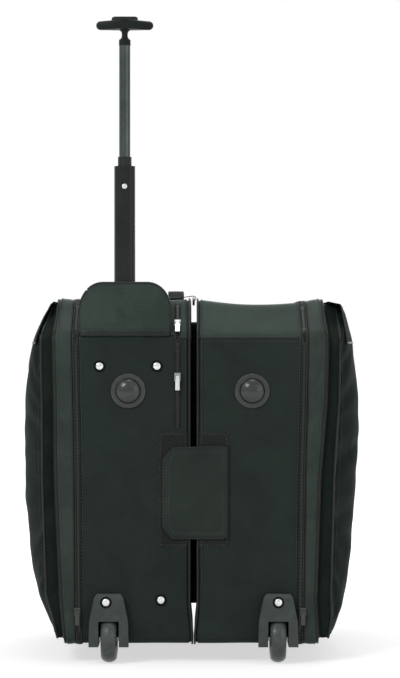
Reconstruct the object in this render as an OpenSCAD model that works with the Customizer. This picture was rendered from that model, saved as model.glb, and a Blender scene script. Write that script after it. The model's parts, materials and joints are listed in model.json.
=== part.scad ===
// Rolling laptop case: two tall soft compartments side by side, joined at the rear by a
// fabric spine and held shut at the wheeled side by a hook-and-loop flap.
// Millimetres. +Z is up, +X is to the right for someone who faces the wheeled side, and +Y
// runs from the wheeled side to the rear. The origin is on the floor, under the middle.

/* [Compartments] */
// Depth of both compartments, from the wheeled side to the rear
case_d = 350; // [280:5:420]
// Height of the top panels above the floor
case_top = 548; // [500:1:650]
// Height of the underside above the floor
case_base = 28; // [27:1:34]
// Height at which the front panels fold into the sloping shoulder
shoulder_z = 493; // [470:1:499]
// How far back the shoulder runs before it meets the top
shoulder_run = 50; // [45:1:56]
// Width of the left compartment without its lid
left_w = 174; // [170:1:220]
// Width of the right compartment without its lid
right_w = 164; // [160:1:220]
// Clear gap between the two compartments
gap_w = 10; // [8:1:20]
// Thickness of every padded wall
wall = 4; // [3:0.5:5]
// Radius of the folds along the bottom edges
base_fold = 14; // [10:1:18]
// Radius of the folds of the shoulder
shoulder_fold = 24; // [12:1:30]
// Radius of the fold at the top of the rear
rear_fold = 30; // [15:1:45]

/* [Lids and pockets] */
// Thickness of the zipped lids
lid_w = 26; // [20:1:40]
// Gap between a lid and its compartment
lid_gap = 0.6; // [0.4:0.1:2]
// How far the left pocket bulges from its lid
left_bulge = 49; // [40:0.5:70]
// How far the right pocket bulges from its lid
right_bulge = 54; // [40:0.5:70]
// Height of the straight edge round each pocket
pocket_edge = 20; // [14:1:24]
// Margin between a pocket and the edge of its lid
pocket_margin = 9; // [6:1:14]
// Thickness of the pocket cloth with its lining
cloth = 2.5; // [2:0.5:4]

/* [Zippers] */
// Width of a zipper's tapes and teeth
zip_w = 9; // [7:1:12]
// How far a zipper stands proud of the cloth
zip_t = 1.2; // [0.8:0.1:2]
// Length of a pull tab
pull_l = 20; // [14:1:30]
// Distance of the front zipper from the gap's middle
front_zip_x = 24; // [20:1:28]
// Height of the lower slider on the front zipper
front_slider_z = 430; // [420:1:440]
// Height of the upper slider on the shoulder
shoulder_slider_z = 509; // [506:1:512]
// Height of the sliders on the lid zippers
lid_slider_z = 78; // [70:1:100]

/* [Pole] */
// Distance of the pole from the gap's middle
pole_x = 104.5; // [100:0.5:108]
// Distance of the pole behind the front panel
pole_y = 38; // [36:1:40]
// Width of the flat lower tube
lower_w = 32; // [28:0.5:33]
// Height of the lower tube's top when pulled out
lower_top = 749; // [738:1:752]
// Height of the lower tube's foot when pulled out
lower_foot = 332; // [325:1:345]
// Wall of both tubes
tube_wall = 1.4; // [1:0.1:1.6]
// Outer radius of the round upper tube
upper_r = 8.6; // [7.5:0.1:8.6]
// Height of the upper tube's top when pulled out
upper_top = 932; // [920:1:950]
// Height of the upper tube's foot when pulled out
upper_foot = 640; // [630:1:660]
// Running clearance of a tube in its guide
tube_fit = 0.08; // [0.05:0.01:0.1]
// Clearance of the lower tube in its channel
channel_fit = 1; // [0.6:0.1:1.2]
// Height of the channel's foot inside the case
channel_foot = 86; // [84:1:95]
// Height of the floor of the well that the pole sinks into
well_z = 512; // [508:1:514]

/* [Grip] */
// Width of the T-grip
grip_w = 87; // [75:1:95]
// Radius of the grip's middle, seen from above
grip_r = 15; // [12:0.5:17]
// Radius of the grip's ends
grip_end_r = 6.7; // [5.5:0.1:7.5]
// Length of the release button
button_l = 40; // [30:1:46]
// Width of the release button
button_w = 13; // [10:0.5:15]
// Clearance round the release button
button_fit = 0.35; // [0.2:0.05:0.6]

/* [Wheels] */
// Radius of the wheels
wheel_r = 36; // [34:0.5:36]
// Width of the tyres
wheel_w = 24; // [20:1:26]
// Radius of the axles
axle_r = 4; // [3:0.5:4.5]
// Running clearance of the bearings on the axles
axle_fit = 0.05; // [0.02:0.01:0.1]
// Outer radius of the bearings
bearing_r = 11; // [10:0.5:12]
// Width of a bearing
bearing_w = 7; // [6:0.5:8]
// Distance of the wheels from the gap's middle
wheel_x = 127; // [125:1:130]
// Distance of the axles behind the front panel
axle_y = 14; // [12:1:16]
// How far the wheel housings stand proud of the front panels
fascia_t = 12; // [9:0.5:13]
// Height of the wheel housings' top
fascia_top = 105; // [100:1:115]
// Clear room on each side of a tyre in its housing
slot_gap = 3.3; // [2.5:0.1:4]

/* [Fittings] */
// Radius of the flange of the dome feet
dome_flange_r = 26; // [22:0.5:28]
// Radius of the dome feet
dome_r = 19.5; // [16:0.5:20]
// Height of the dome feet above the cloth
dome_h = 15; // [10:0.5:18]
// Height of the dome feet's centres
dome_z = 409; // [400:1:415]
// Radius of the rivet heads
rivet_r = 5.8; // [4:0.1:7]
// Width of the hood pocket
hood_w = 138; // [130:1:144]
// Height of the top of the hood pocket
hood_top = 573; // [565:1:580]
// Thickness of the hood's quilted cloth
hood_t = 3; // [2:0.5:4]
// Width of the rear feet
foot_w = 44; // [30:1:60]
// Length of the rear feet
foot_l = 40; // [30:1:60]
// Reach of the closure flap over the left compartment
flap_left = 46; // [40:1:50]
// Distance of the closure flap's seam from the gap's middle
flap_right = 51.5; // [50:0.5:56]
// Height of the flap's lower edge
flap_low = 188; // [180:1:195]
// Height of the flap's upper edge
flap_high = 326; // [320:1:340]
// Thickness of the closure flap
flap_t = 2; // [1.5:0.1:3]
// Length of the carry handle
handle_l = 150; // [130:1:180]
// Width of the carry handle's webbing
webbing_w = 24; // [20:1:25]
// Thickness of the webbing
webbing_t = 3; // [2:0.5:4]
// Finger room under the carry handle
handle_gap = 12; // [10:1:25]

/* [Hidden] */
$fn = 64;
LEFT = -1;
RIGHT = 1;
over = 1;               // overshoot of a cutting shape
seat_gap = 0.3;         // gap between a moving piece and what it passes
inner_x = gap_w / 2;
left_edge = inner_x + left_w;
right_edge = inner_x + right_w;
left_reach = left_edge + lid_w + left_bulge;
right_reach = right_edge + lid_w + right_bulge;
gap_x = (left_reach - right_reach) / 2;
wheel_front = wheel_r - axle_y;
front_y = (wheel_front - case_d) / 2;
base_cut = case_base + base_fold + 2;
slope = atan2(case_top - shoulder_z, shoulder_run);
upper_fit_r = upper_r + tube_fit;
bush_wall = 1;          // least wall of the bush round the upper tube
lower_d = 2 * (upper_r + bush_wall + tube_wall);
bush_h = 14;            // height of the bush above the lower tube
bush_flange = 1.8;      // how far the bush's head reaches past the upper tube
pin_drop = 31;          // distance of the stop pin below the lower tube's top
pin_head_r = 3.8;
pin_head = channel_fit - 0.1;   // the pin's head slides down inside the channel
hood_side_shift = -1.5; // how far the hood's middle is outward of the pole
hood_near = pole_x + hood_side_shift - hood_w / 2;
hood_far = hood_near + hood_w;
hood_corner = 26;
hood_rise = 14;         // how far back the hood leans at its top
hood_back = 22;         // where the hood's sides start down to the top cover
slot_w = wheel_w + 2 * slot_gap;
channel_w = lower_w + 2 * channel_fit + 2 * tube_wall;
channel_d = lower_d + 2 * channel_fit + 2 * tube_wall;
plug_w = lower_w - 2 * tube_wall;
plug_d = lower_d - 2 * tube_wall;
plug_foot = lower_top - 44;
well_w = lower_w + 22;
well_d = lower_d + 12;
well_wall = 2.5;
collar_h = 9;
neck_h = 15;
neck_r = 4.5;
grip_z = upper_top + collar_h + neck_h;
button_top = grip_z + 20;
button_h = 9;
button_travel = 4;
rod_r = 2;
housing_w = slot_w + 9.4;
housing_top = 2 * wheel_r + 8;
housing_d = axle_y + wheel_r + 8;
housing_foot = case_base - 2;
slot_r = wheel_r + 2.5;
rivet_shank_r = 2.2;
plate_x = pole_x - 6.5;
top_plate_z = 446;
foot_plate_z = 95;
top_rivet_x = 43;
foot_rivet_x = 49;
plate_t = 3;            // thickness of the plates that hold the channel
axle_head = 3;          // reach and thickness of an axle's heads
rivet_drop = 12;        // distance of a housing's rivet below its top
housing_rivet = 4;      // how far the left housing's rivet is outward of its wheel
patch_w = 47;
patch_low = flap_low - 13;
patch_high = flap_high + 20;
patch_t = 1.2;
spine_foot = case_base + base_fold + 3;
divider_x = 60;
divider_t = 8;
divider_top = 360;
handle_x = 28;
ring_y = 72;
ring_bar_r = 1.8;
ring_bar_l = 22;
keeper_half = 5.5;      // half the width of the tab that keeps the ring
keeper_l = 24;
right_dome_x = 88;
keeper_r = 4.2;
slider_l = 12;
slider_t = 2.4;
pull_bar = 4.4;
pull_eye_r = 0.9;

// ---- shared forms ----

function edge_of(s) = s == LEFT ? left_edge : right_edge;
function unit(v) = v / norm(v);
function turn(a) = a > 180 ? a - 360 : a < -180 ? a + 360 : a;

// The arc that rounds corner q between the points p and s
function fillet(p, q, s, r, n = 6) =
    let (u = unit(p - q), v = unit(s - q), half = acos(u * v) / 2,
         c = q + unit(u + v) * r / sin(half),
         a = q + u * r / tan(half) - c, b = q + v * r / tan(half) - c,
         from = atan2(a[1], a[0]), by = turn(atan2(b[1], b[0]) - from))
    [for (i = [0:n]) c + r * [cos(from + by * i / n), sin(from + by * i / n)]];

// Corners of a compartment's side outline, drawn in by i, as [distance behind front, height]
function corners(i) = [
    [i, case_base + i],
    [case_d - i, case_base + i],
    [case_d - i, case_top - i],
    [(i + (case_top - i - shoulder_z) * cos(slope)) / sin(slope), case_top - i],
    [i, shoulder_z - i * (1 - sin(slope)) / cos(slope)]];
function radii(i) = [base_fold - i, base_fold - i, rear_fold - i, shoulder_fold - i,
    shoulder_fold - i];
function outline(i, n = 6) =
    let (c = corners(i), r = radii(i))
    [for (k = [0:4]) each fillet(c[(k + 4) % 5], c[k], c[(k + 1) % 5], max(r[k], 2), n)];

// Puts a shape drawn from the gap's middle and the front panels into the part's own frame
module placed() { translate([gap_x, front_y, 0]) children(); }
// Turns a shape drawn for the right into the one for side s
module side(s) { placed() mirror([s == LEFT ? 1 : 0, 0, 0]) children(); }
// A slice of the compartment's outline from x0 to x1, drawn in by i, with n steps to a fold
module slice(x0, x1, i = 0, n = 6) {
    translate([x0, 0, 0]) rotate([90, 0, 90]) linear_extrude(x1 - x0) polygon(outline(i, n));
}
module tube_of_wall(x0, x1) {
    difference() {
        slice(x0, x1);
        slice(x0 - over, x1 + over, wall);
    }
}
module block(low, high) { translate(low) cube(high - low); }
module along_x(x0, x1, r) { translate([x0, 0, 0]) rotate([0, 90, 0]) cylinder(h = x1 - x0, r = r); }
module along_y(y0, y1, r) { translate([0, y0, 0]) rotate([-90, 0, 0]) cylinder(h = y1 - y0, r = r); }
// A flat shape with two round ends
module stadium(w, d) {
    square([w - d, d], center = true);
    for (s = [-1, 1]) translate([s * (w - d) / 2, 0]) circle(d = d);
}
module at_pole() { placed() translate([-pole_x, pole_y, 0]) children(); }
module upright(z0, z1) { translate([0, 0, z0]) linear_extrude(z1 - z0) children(); }

// ---- compartment walls ----

module rivet_holes() {
    for (at = left_rivets()) translate([at[0], 0, at[1]]) along_y(-over, wall + over, rivet_shank_r);
}
// Rivets of the pole's plates and of the left housing, as [distance from the gap, height]
function left_rivets() = [
    [plate_x + top_rivet_x, top_plate_z], [plate_x - top_rivet_x, top_plate_z],
    [plate_x - foot_rivet_x, foot_plate_z], [wheel_x + housing_rivet, fascia_top - rivet_drop]];
// Room in the panels for a wheel housing and for the heads of its axle
module housing_notch() {
    reach = housing_w / 2 + axle_head + seat_gap;
    block([wheel_x - housing_w / 2, -over, case_base - over],
        [wheel_x + housing_w / 2, housing_d, housing_top]);
    translate([wheel_x, axle_y, wheel_r]) along_x(-reach, reach, axle_r + axle_head + seat_gap);
}
module front_panel(s) {
    color("#2b302e") side(s) difference() {
        intersection() {
            tube_of_wall(inner_x + wall, edge_of(s));
            block([0, -over, base_cut], [edge_of(s) + over, case_d / 2, shoulder_z - wall]);
        }
        housing_notch();
        if (s == LEFT) rivet_holes();
        if (s == RIGHT)
            translate([wheel_x, 0, fascia_top - rivet_drop]) along_y(-over, wall + over, rivet_shank_r);
    }
}
module top_cover(s) {
    color("#434b48") side(s) difference() {
        intersection() {
            tube_of_wall(inner_x + wall, edge_of(s));
            block([0, -over, shoulder_z - wall], [edge_of(s) + over, case_d + over, case_top + over]);
        }
        if (s == LEFT) well_block(over);
    }
}
module bottom_panel(s) {
    color("#1f2322") side(s) difference() {
        intersection() {
            tube_of_wall(inner_x + wall, edge_of(s));
            block([0, -over, 0], [edge_of(s) + over, case_d + over, base_cut]);
        }
        housing_notch();
    }
}
module rear_panel(s) {
    color("#2b302e") side(s) intersection() {
        tube_of_wall(inner_x + wall, edge_of(s));
        block([0, case_d / 2, base_cut], [edge_of(s) + over, case_d + over, shoulder_z - wall]);
    }
}
module inner_wall(s) { color("#262a29") side(s) slice(inner_x, inner_x + wall); }

module left_front_panel() { front_panel(LEFT); }
module right_front_panel() { front_panel(RIGHT); }
module left_top_cover() { top_cover(LEFT); }
module right_top_cover() { top_cover(RIGHT); }
module left_bottom_panel() { bottom_panel(LEFT); }
module right_bottom_panel() { bottom_panel(RIGHT); }
module left_rear_panel() { rear_panel(LEFT); }
module right_rear_panel() { rear_panel(RIGHT); }
module left_inner_wall() { inner_wall(LEFT); }
module right_inner_wall() { inner_wall(RIGHT); }

// The folded strip of cloth at the back of the gap, on which the right compartment swings
module rear_spine() {
    color("#262a29") placed() block([seat_gap - inner_x - 0.2, case_d - 2.5, spine_foot],
        [inner_x - 2, case_d - 0.3, case_top - rear_fold - 3]);
}
module laptop_divider() {
    color("#33302c") side(RIGHT) intersection() {
        slice(divider_x, divider_x + divider_t, wall);
        block([divider_x, 0, 0], [divider_x + divider_t, case_d, divider_top]);
    }
}

// ---- lids, pockets and zippers ----

module lid(s) {
    x0 = edge_of(s) + lid_gap;
    x1 = edge_of(s) + lid_w;
    color("#3c403e") side(s) difference() {
        slice(x0, x1);
        slice(x0 - over, x1 - wall, wall);
    }
}
// The full form of a pocket, drawn in by i: a slice cut by two wide round faces
module pillow(x0, bulge, i) {
    crown = bulge - pocket_edge;
    high = case_top - case_base - 2 * pocket_margin;
    deep = case_d - 2 * pocket_margin;
    r_high = (high * high / 4 + crown * crown) / (2 * crown);
    r_deep = (deep * deep / 4 + crown * crown) / (2 * crown);
    intersection() {
        slice(x0 - (i > 0 ? over : 0), x0 + bulge + over, pocket_margin + i, 2);
        translate([x0 + bulge - r_high, 0, (case_top + case_base) / 2])
            rotate([0, 180, 0]) translate([0, -over, 0]) rotate([-90, 0, 0])
                cylinder(h = case_d + 2 * over, r = r_high - i, $fn = 180);
        translate([x0 + bulge - r_deep, case_d / 2, 0]) rotate([0, 0, 180])
            cylinder(h = case_top + over, r = r_deep - i, $fn = 180);
    }
}
module pocket(s, bulge) {
    x0 = edge_of(s) + lid_w;
    color("#2f3432") side(s) difference() {
        pillow(x0, bulge, 0);
        pillow(x0, bulge, cloth);
    }
}
module lid_zipper(s) {
    x1 = edge_of(s);
    color("#1b1e1d") side(s) difference() {
        slice(x1 - zip_w, x1 - seat_gap, -zip_t);
        slice(x1 - zip_w - over, x1 + over, 0);
        block([0, case_d - rear_fold, 0], [x1 + over, case_d + 2 * zip_t, case_top + 2 * zip_t]);
        // The left one narrows where it passes the hood
        if (s == LEFT) block([0, -2 * zip_t, shoulder_z - 24],
            [hood_far + seat_gap, case_d, case_top + 2 * zip_t]);
    }
}
module left_lid() { lid(LEFT); }
module right_lid() { lid(RIGHT); }
module left_pocket() { pocket(LEFT, left_bulge); }
module right_pocket() { pocket(RIGHT, right_bulge); }
module left_lid_zipper() { lid_zipper(LEFT); }
module right_lid_zipper() { lid_zipper(RIGHT); }

// The zipper beside the gap: up the front panel, over the fold and up the shoulder
module front_zipper() {
    x0 = front_zip_x - zip_w / 2;
    color("#1b1e1d") side(LEFT) intersection() {
        difference() {
            slice(x0, x0 + zip_w, -zip_t);
            slice(x0 - over, x0 + zip_w + over, 0);
        }
        block([x0 - over, -2 * zip_t, patch_high + 4], [x0 + zip_w + over, shoulder_run - 6, case_top]);
    }
}
// A slider that runs on cloth at y = 0 and faces -y, with the bar that holds its pull
module slider() {
    gap = zip_t + seat_gap;
    block([-zip_w / 2, -gap - slider_t, -slider_l / 2], [zip_w / 2, -gap, slider_l / 2]);
    for (s = [-1, 1]) translate([s * 3.6, 0, 0])
        block([-0.7, -gap - pull_bar - 0.8, -1.2], [0.7, -gap - slider_t, 1.2]);
    translate([0, -gap - pull_bar, 0]) along_x(-3.6, 3.6, pull_eye_r - axle_fit);
}
module pull() {
    gap = zip_t + seat_gap;
    translate([0, -gap - pull_bar, 0]) difference() {
        union() {
            along_x(-2.4, 2.4, 1.9);
            block([-2.4, -0.6, -6], [2.4, 0.6, 0]);
            block([-3.2, -0.6, -pull_l], [3.2, 0.6, -5]);
        }
        along_x(-3, 3, pull_eye_r);
    }
}
// The start of the shoulder's straight stretch is where the upper slider sits
module on_shoulder() {
    placed() translate([-front_zip_x, (shoulder_slider_z - shoulder_z) / tan(slope), shoulder_slider_z])
        rotate([slope - 90, 0, 0]) children();
}
module at_front_slider() { placed() translate([-front_zip_x, 0, front_slider_z]) children(); }
module at_lid_slider(s) {
    side(s) translate([edge_of(s) - zip_w / 2 - seat_gap, 0, lid_slider_z]) children();
}
module front_slider() { color("#8c8f8e") at_front_slider() slider(); }
module front_pull() { color("#c9cbca") at_front_slider() pull(); }
module shoulder_slider() { color("#8c8f8e") on_shoulder() slider(); }
module shoulder_pull() { color("#c9cbca") on_shoulder() pull(); }
module left_lid_slider() { color("#8c8f8e") at_lid_slider(LEFT) slider(); }
module left_lid_pull() { color("#c9cbca") at_lid_slider(LEFT) pull(); }
module right_lid_slider() { color("#8c8f8e") at_lid_slider(RIGHT) slider(); }
module right_lid_pull() { color("#c9cbca") at_lid_slider(RIGHT) pull(); }

// ---- pole ----

module well_block(more) {
    block([pole_x - well_w / 2, pole_y - well_d / 2, shoulder_z - wall - more],
        [pole_x + well_w / 2, pole_y + well_d / 2, case_top + more]);
}
module pole_well() {
    color("#232625") difference() {
        side(LEFT) intersection() {
            slice(0, left_edge);
            block([pole_x - well_w / 2, pole_y - well_d / 2, well_z - 4],
                [pole_x + well_w / 2, pole_y + well_d / 2, case_top]);
        }
        at_pole() {
            block([-well_w / 2 + well_wall, -well_d / 2 + well_wall, well_z],
                [well_w / 2 - well_wall, well_d / 2 - well_wall, case_top + over]);
            upright(well_z - 4 - over, well_z + over)
                stadium(lower_w + 2 * seat_gap, lower_d + 2 * seat_gap);
        }
    }
}
module pole_channel() {
    color("#8f9391") at_pole() upright(channel_foot, well_z - 4) difference() {
        stadium(channel_w, channel_d);
        stadium(channel_w - 2 * tube_wall, channel_d - 2 * tube_wall);
    }
}
module plate(z, low_x, high_x, rivets) {
    color("#6e7270") difference() {
        placed() union() {
            block([low_x - plate_x, wall, z - 11], [high_x - plate_x, wall + plate_t, z + 11]);
            block([-pole_x - channel_w / 2 - plate_t, wall, z - 9],
                [-pole_x + channel_w / 2 + plate_t, pole_y + channel_d / 2 + plate_t, z + 9]);
        }
        at_pole() upright(z - 12, z + 12) stadium(channel_w, channel_d);
        placed() for (x = rivets) translate([x - plate_x, 0, z])
            along_y(wall - over, wall + plate_t + over, rivet_shank_r);
    }
}
module pole_top_bracket() {
    plate(top_plate_z, -top_rivet_x - 9, top_rivet_x + 9, [-top_rivet_x, top_rivet_x]);
}
module pole_foot_bracket() {
    plate(foot_plate_z, -24, foot_rivet_x + 9, [foot_rivet_x]);
    // The floor that the stowed lower tube comes down on
    color("#6e7270") at_pole() upright(foot_plate_z - 9, foot_plate_z - 9 + plate_t) stadium(plug_w, plug_d);
}
module rivet(depth) {
    rotate([90, 0, 0]) rotate_extrude() polygon(concat([[0, -depth], [rivet_shank_r, -depth],
        [rivet_shank_r, 0]], [for (a = [0:15:90]) [rivet_r * cos(a), 0.6 + 2 * sin(a)]]));
}
module pole_rivets() {
    rivets = left_rivets();
    color("#e4e6e5") placed() {
        for (k = [0:2]) translate([-rivets[k][0], 0, rivets[k][1]]) rivet(wall + plate_t);
        translate([-rivets[3][0], -fascia_t, rivets[3][1]]) rivet(fascia_t + wall);
    }
}
module right_rivet() {
    color("#e4e6e5") placed() translate([wheel_x, -fascia_t, fascia_top - rivet_drop]) rivet(fascia_t + wall);
}
module lower_tube() {
    color("#1d2020") at_pole() difference() {
        upright(lower_foot, lower_top) difference() {
            stadium(lower_w, lower_d);
            stadium(plug_w, plug_d);
        }
        translate([0, 0, lower_top - pin_drop]) along_y(-lower_d, 0, rivet_shank_r);
    }
}
module tube_bush() {
    color("#2a2d2c") at_pole() difference() {
        union() {
            upright(plug_foot, lower_top) stadium(plug_w, plug_d);
            upright(lower_top, lower_top + bush_h) circle(r = upper_r + bush_flange);
        }
        translate([0, 0, plug_foot - over]) cylinder(h = 60, r = upper_fit_r);
        translate([0, 0, lower_top - pin_drop]) along_y(-lower_d, 0, rivet_shank_r);
    }
}
module stop_pin() {
    reach = lower_d / 2 - upper_fit_r - 0.1;
    color("#eceeed") at_pole() translate([0, -lower_d / 2, lower_top - pin_drop]) rotate([90, 0, 0])
        rotate_extrude() polygon([[0, -reach], [rivet_shank_r, -reach], [rivet_shank_r, 0.1],
            [pin_head_r, 0.1], [pin_head_r, pin_head / 2], [pin_head_r - 0.8, pin_head], [0, pin_head]]);
}
module upper_tube() {
    color("#141616") at_pole() upright(upper_foot, upper_top) difference() {
        circle(r = upper_r);
        circle(r = upper_r - tube_wall);
    }
}
// The neck flares into the collar below and into the grip above
function neck_at(t) = neck_r + 4 * pow(abs(2 * t - 1), 3);
module grip() {
    color("#1a1c1c") at_pole() difference() {
        union() {
            hull() {
                for (s = [-1, 1]) translate([s * (grip_w / 2 - grip_end_r), 0, grip_z + grip_end_r])
                    sphere(r = grip_end_r, $fn = 32);
                translate([0, 0, grip_z + 1]) cylinder(h = 13, r1 = grip_r - 3, r2 = grip_r, $fn = 48);
            }
            translate([0, 0, upper_top]) cylinder(h = collar_h, r = upper_r + 0.3);
            translate([0, 0, upper_top + collar_h]) rotate_extrude() polygon(concat([[0, 0]],
                [for (k = [0:10]) [neck_at(k / 10), neck_h * k / 10]], [[8.5, neck_h + 4], [0, neck_h + 4]]));
        }
        upright(button_top - button_h - button_travel - 1, button_top + over)
            stadium(button_l + 2 * button_fit, button_w + 2 * button_fit);
        translate([0, 0, upper_top - over]) cylinder(h = 40, r = rod_r + 1);
    }
}
module release_button() {
    color("#3b3e3d") at_pole() {
        upright(button_top - button_h, button_top - 2) stadium(button_l, button_w);
        upright(button_top - 2, button_top - 0.8) stadium(button_l - 1.6, button_w - 1.6);
        upright(button_top - 0.8, button_top) stadium(button_l - 5, button_w - 5);
    }
}
module release_rod() {
    color("#8f9391") at_pole() upright(upper_foot + 12, button_top - button_h) circle(r = rod_r);
}

// ---- wheels ----

module at_axle(s) { side(s) translate([wheel_x, axle_y, wheel_r]) children(); }
module tyre(s) {
    half = wheel_w / 2;
    crown = 8;
    color("#17181a") at_axle(s) rotate([0, 90, 0]) rotate_extrude() polygon(concat(
        [[22, -half + 2], [26, -half]],
        [for (a = [-80:20:80]) [wheel_r - crown + crown * cos(a), (half) * sin(a)]],
        [[26, half], [22, half - 2]]));
}
module hub(s) {
    half = wheel_w / 2 - 2;
    color("#4a4d4e") at_axle(s) difference() {
        along_x(-half, half, 22);
        for (d = [-1, 1]) translate([d * half, 0, 0]) along_x(-bearing_w, bearing_w, bearing_r);
        along_x(-half - over, half + over, bearing_r - 2);
        for (d = [-1, 1]) translate([d * half, 0, 0]) difference() {
            along_x(-3, 3, 20);
            along_x(-4, 4, bearing_r + 2.5);
            for (k = [0:5]) rotate([60 * k, 0, 0]) block([-4, -1.5, 0], [4, 1.5, 22]);
        }
    }
}
module bearings(s) {
    half = wheel_w / 2 - 2;
    color("#b9bcbb") at_axle(s) for (x0 = [-half, half - bearing_w]) difference() {
        along_x(x0, x0 + bearing_w, bearing_r);
        along_x(x0 - over, x0 + bearing_w + over, axle_r + axle_fit);
    }
}
module axle(s) {
    color("#c4c7c6") at_axle(s) {
        along_x(-housing_w / 2, housing_w / 2, axle_r);
        along_x(-housing_w / 2 - axle_head, -housing_w / 2, axle_r + axle_head);
        along_x(housing_w / 2, housing_w / 2 + axle_head, axle_r + axle_head);
    }
}
module housing(s) {
    hole_x = s == LEFT ? wheel_x + housing_rivet : wheel_x;
    color("#565857") side(s) difference() {
        union() {
            translate([wheel_x, 0, 0]) rotate([90, 0, 0]) linear_extrude(fascia_t) polygon([
                [-30, housing_foot], [30, housing_foot], [29, 64], [22, fascia_top - 6],
                [18, fascia_top], [-18, fascia_top], [-22, fascia_top - 6], [-29, 64]]);
            block([wheel_x - housing_w / 2, -over, housing_foot],
                [wheel_x + housing_w / 2, housing_d, housing_top]);
        }
        translate([wheel_x, -fascia_t, fascia_top]) rotate([45, 0, 0]) cube([70, 8, 8], center = true);
        translate([wheel_x, axle_y, wheel_r]) {
            along_x(-slot_w / 2, slot_w / 2, slot_r);
            block([-slot_w / 2, -slot_r, -wheel_r], [slot_w / 2, slot_r, 0]);
            along_x(-housing_w, housing_w, axle_r);
        }
        translate([hole_x, 0, fascia_top - rivet_drop]) along_y(-fascia_t - over, over, rivet_shank_r);
    }
}
module left_tyre() { tyre(LEFT); }
module right_tyre() { tyre(RIGHT); }
module left_hub() { hub(LEFT); }
module right_hub() { hub(RIGHT); }
module left_bearings() { bearings(LEFT); }
module right_bearings() { bearings(RIGHT); }
module left_axle() { axle(LEFT); }
module right_axle() { axle(RIGHT); }
module left_wheel_housing() { housing(LEFT); }
module right_wheel_housing() { housing(RIGHT); }

// ---- fittings ----

module dome_foot(x) {
    color("#151717") placed() translate([x, 0, dome_z]) rotate([90, 0, 0]) rotate_extrude()
        polygon(concat([[0, 0], [dome_flange_r, 0], [dome_flange_r, 1.5], [dome_flange_r - 2, 3]],
            [for (a = [0:10:90]) [dome_r * cos(a), 3 + (dome_h - 3) * sin(a)]]));
}
module left_dome_foot() { dome_foot(-plate_x); }
module right_dome_foot() { dome_foot(right_dome_x); }
module rear_foot(s) {
    color("#1c1e1e") side(s) translate([wheel_x, case_d - base_fold - foot_l / 2, 0])
        rotate([90, 0, 0]) translate([0, 0, -foot_l / 2]) linear_extrude(foot_l) polygon([
            [-foot_w / 2 + 5, 0], [foot_w / 2 - 5, 0], [foot_w / 2, 5], [foot_w / 2, case_base],
            [-foot_w / 2, case_base], [-foot_w / 2, 5]]);
}
module left_rear_foot() { rear_foot(LEFT); }
module right_rear_foot() { rear_foot(RIGHT); }
module loop_patch(s) {
    color("#202423") side(s)
        block([inner_x + wall, -patch_t, patch_low], [inner_x + patch_w, 0, patch_high]);
}
module left_loop_patch() { loop_patch(LEFT); }
module right_loop_patch() { loop_patch(RIGHT); }
module closure_flap() {
    cut = 14;
    color("#282c2b") placed() translate([0, -patch_t - seat_gap, 0]) rotate([90, 0, 0])
        linear_extrude(flap_t) polygon([
            [flap_right, flap_low], [flap_right, flap_high], [cut - flap_left, flap_high - 3],
            [-flap_left, flap_high - cut - 4], [-flap_left, flap_low + cut + 4],
            [cut + 4 - flap_left, flap_low]]);
}
// The side of the hood, as [distance behind the front panel, height]
module hood_side() {
    polygon([[-hood_t, shoulder_z - 1], [hood_rise, hood_top], [hood_back, hood_top],
        [shoulder_run + 10, case_top + 1], [shoulder_run + 10, case_top - 20], [5, shoulder_z - 20]]);
}
module hood_pocket() {
    x0 = hood_near;
    x1 = hood_far;
    r = hood_corner;
    color("#3e4642") side(LEFT) difference() {
        intersection() {
            translate([x0, 0, 0]) rotate([90, 0, 90]) linear_extrude(hood_w) hood_side();
            translate([0, case_d, 0]) rotate([90, 0, 0]) linear_extrude(case_d * 2) union() {
                translate([x0, shoulder_z - 5]) square([hood_w, hood_top - shoulder_z + 5 - r]);
                translate([x0 + r, shoulder_z - 5]) square([hood_w - 2 * r, hood_top - shoulder_z + 5]);
                for (x = [x0 + r, x1 - r]) translate([x, hood_top - r]) circle(r = r);
            }
        }
        translate([x0 + hood_t, 0, 0]) rotate([90, 0, 90]) linear_extrude(hood_w - 2 * hood_t) polygon([
            [0, shoulder_z - 1], [hood_rise + hood_t, hood_top + over], [case_d, hood_top + over],
            [case_d, shoulder_z - 40], [0, shoulder_z - 40]]);
        slice(x0 - over, x1 + over);
    }
}
// A webbing loop over the top, and the short tab that keeps the ring
module carry_handle() {
    half = handle_l / 2;
    low = case_top;
    mid = case_d / 2;
    color("#1d2020") placed() {
        translate([-handle_x - webbing_w / 2, mid, low]) rotate([90, 0, 90])
            linear_extrude(webbing_w) polygon([
            [-half, 0], [-half, webbing_t], [-half + 18, webbing_t], [-half + 34, handle_gap + webbing_t],
            [half - 34, handle_gap + webbing_t], [half - 18, webbing_t], [half, webbing_t], [half, 0],
            [half - 19, 0], [half - 36, handle_gap], [-half + 36, handle_gap], [-half + 19, 0]]);
        translate([0, ring_y, low + 1]) difference() {
            union() {
                along_y(-keeper_half, keeper_half, keeper_r);
                block([-inner_x - keeper_l, -keeper_half, keeper_r - 2], [0, keeper_half, keeper_r]);
                block([-inner_x - keeper_l, -keeper_half, -1], [-inner_x - 10, keeper_half, keeper_r]);
            }
            along_y(-keeper_half - over, keeper_half + over, ring_bar_r + axle_fit);
        }
    }
}
module d_ring() {
    bend = ring_bar_l / 2 - ring_bar_r;
    color("#b4b7b6") placed() translate([0, ring_y, case_top + 1]) {
        along_y(-ring_bar_l / 2, ring_bar_l / 2, ring_bar_r);
        rotate([0, 90, 0]) rotate([0, 0, -90]) rotate_extrude(angle = 180)
            translate([bend, 0]) circle(r = ring_bar_r);
    }
}

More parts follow.
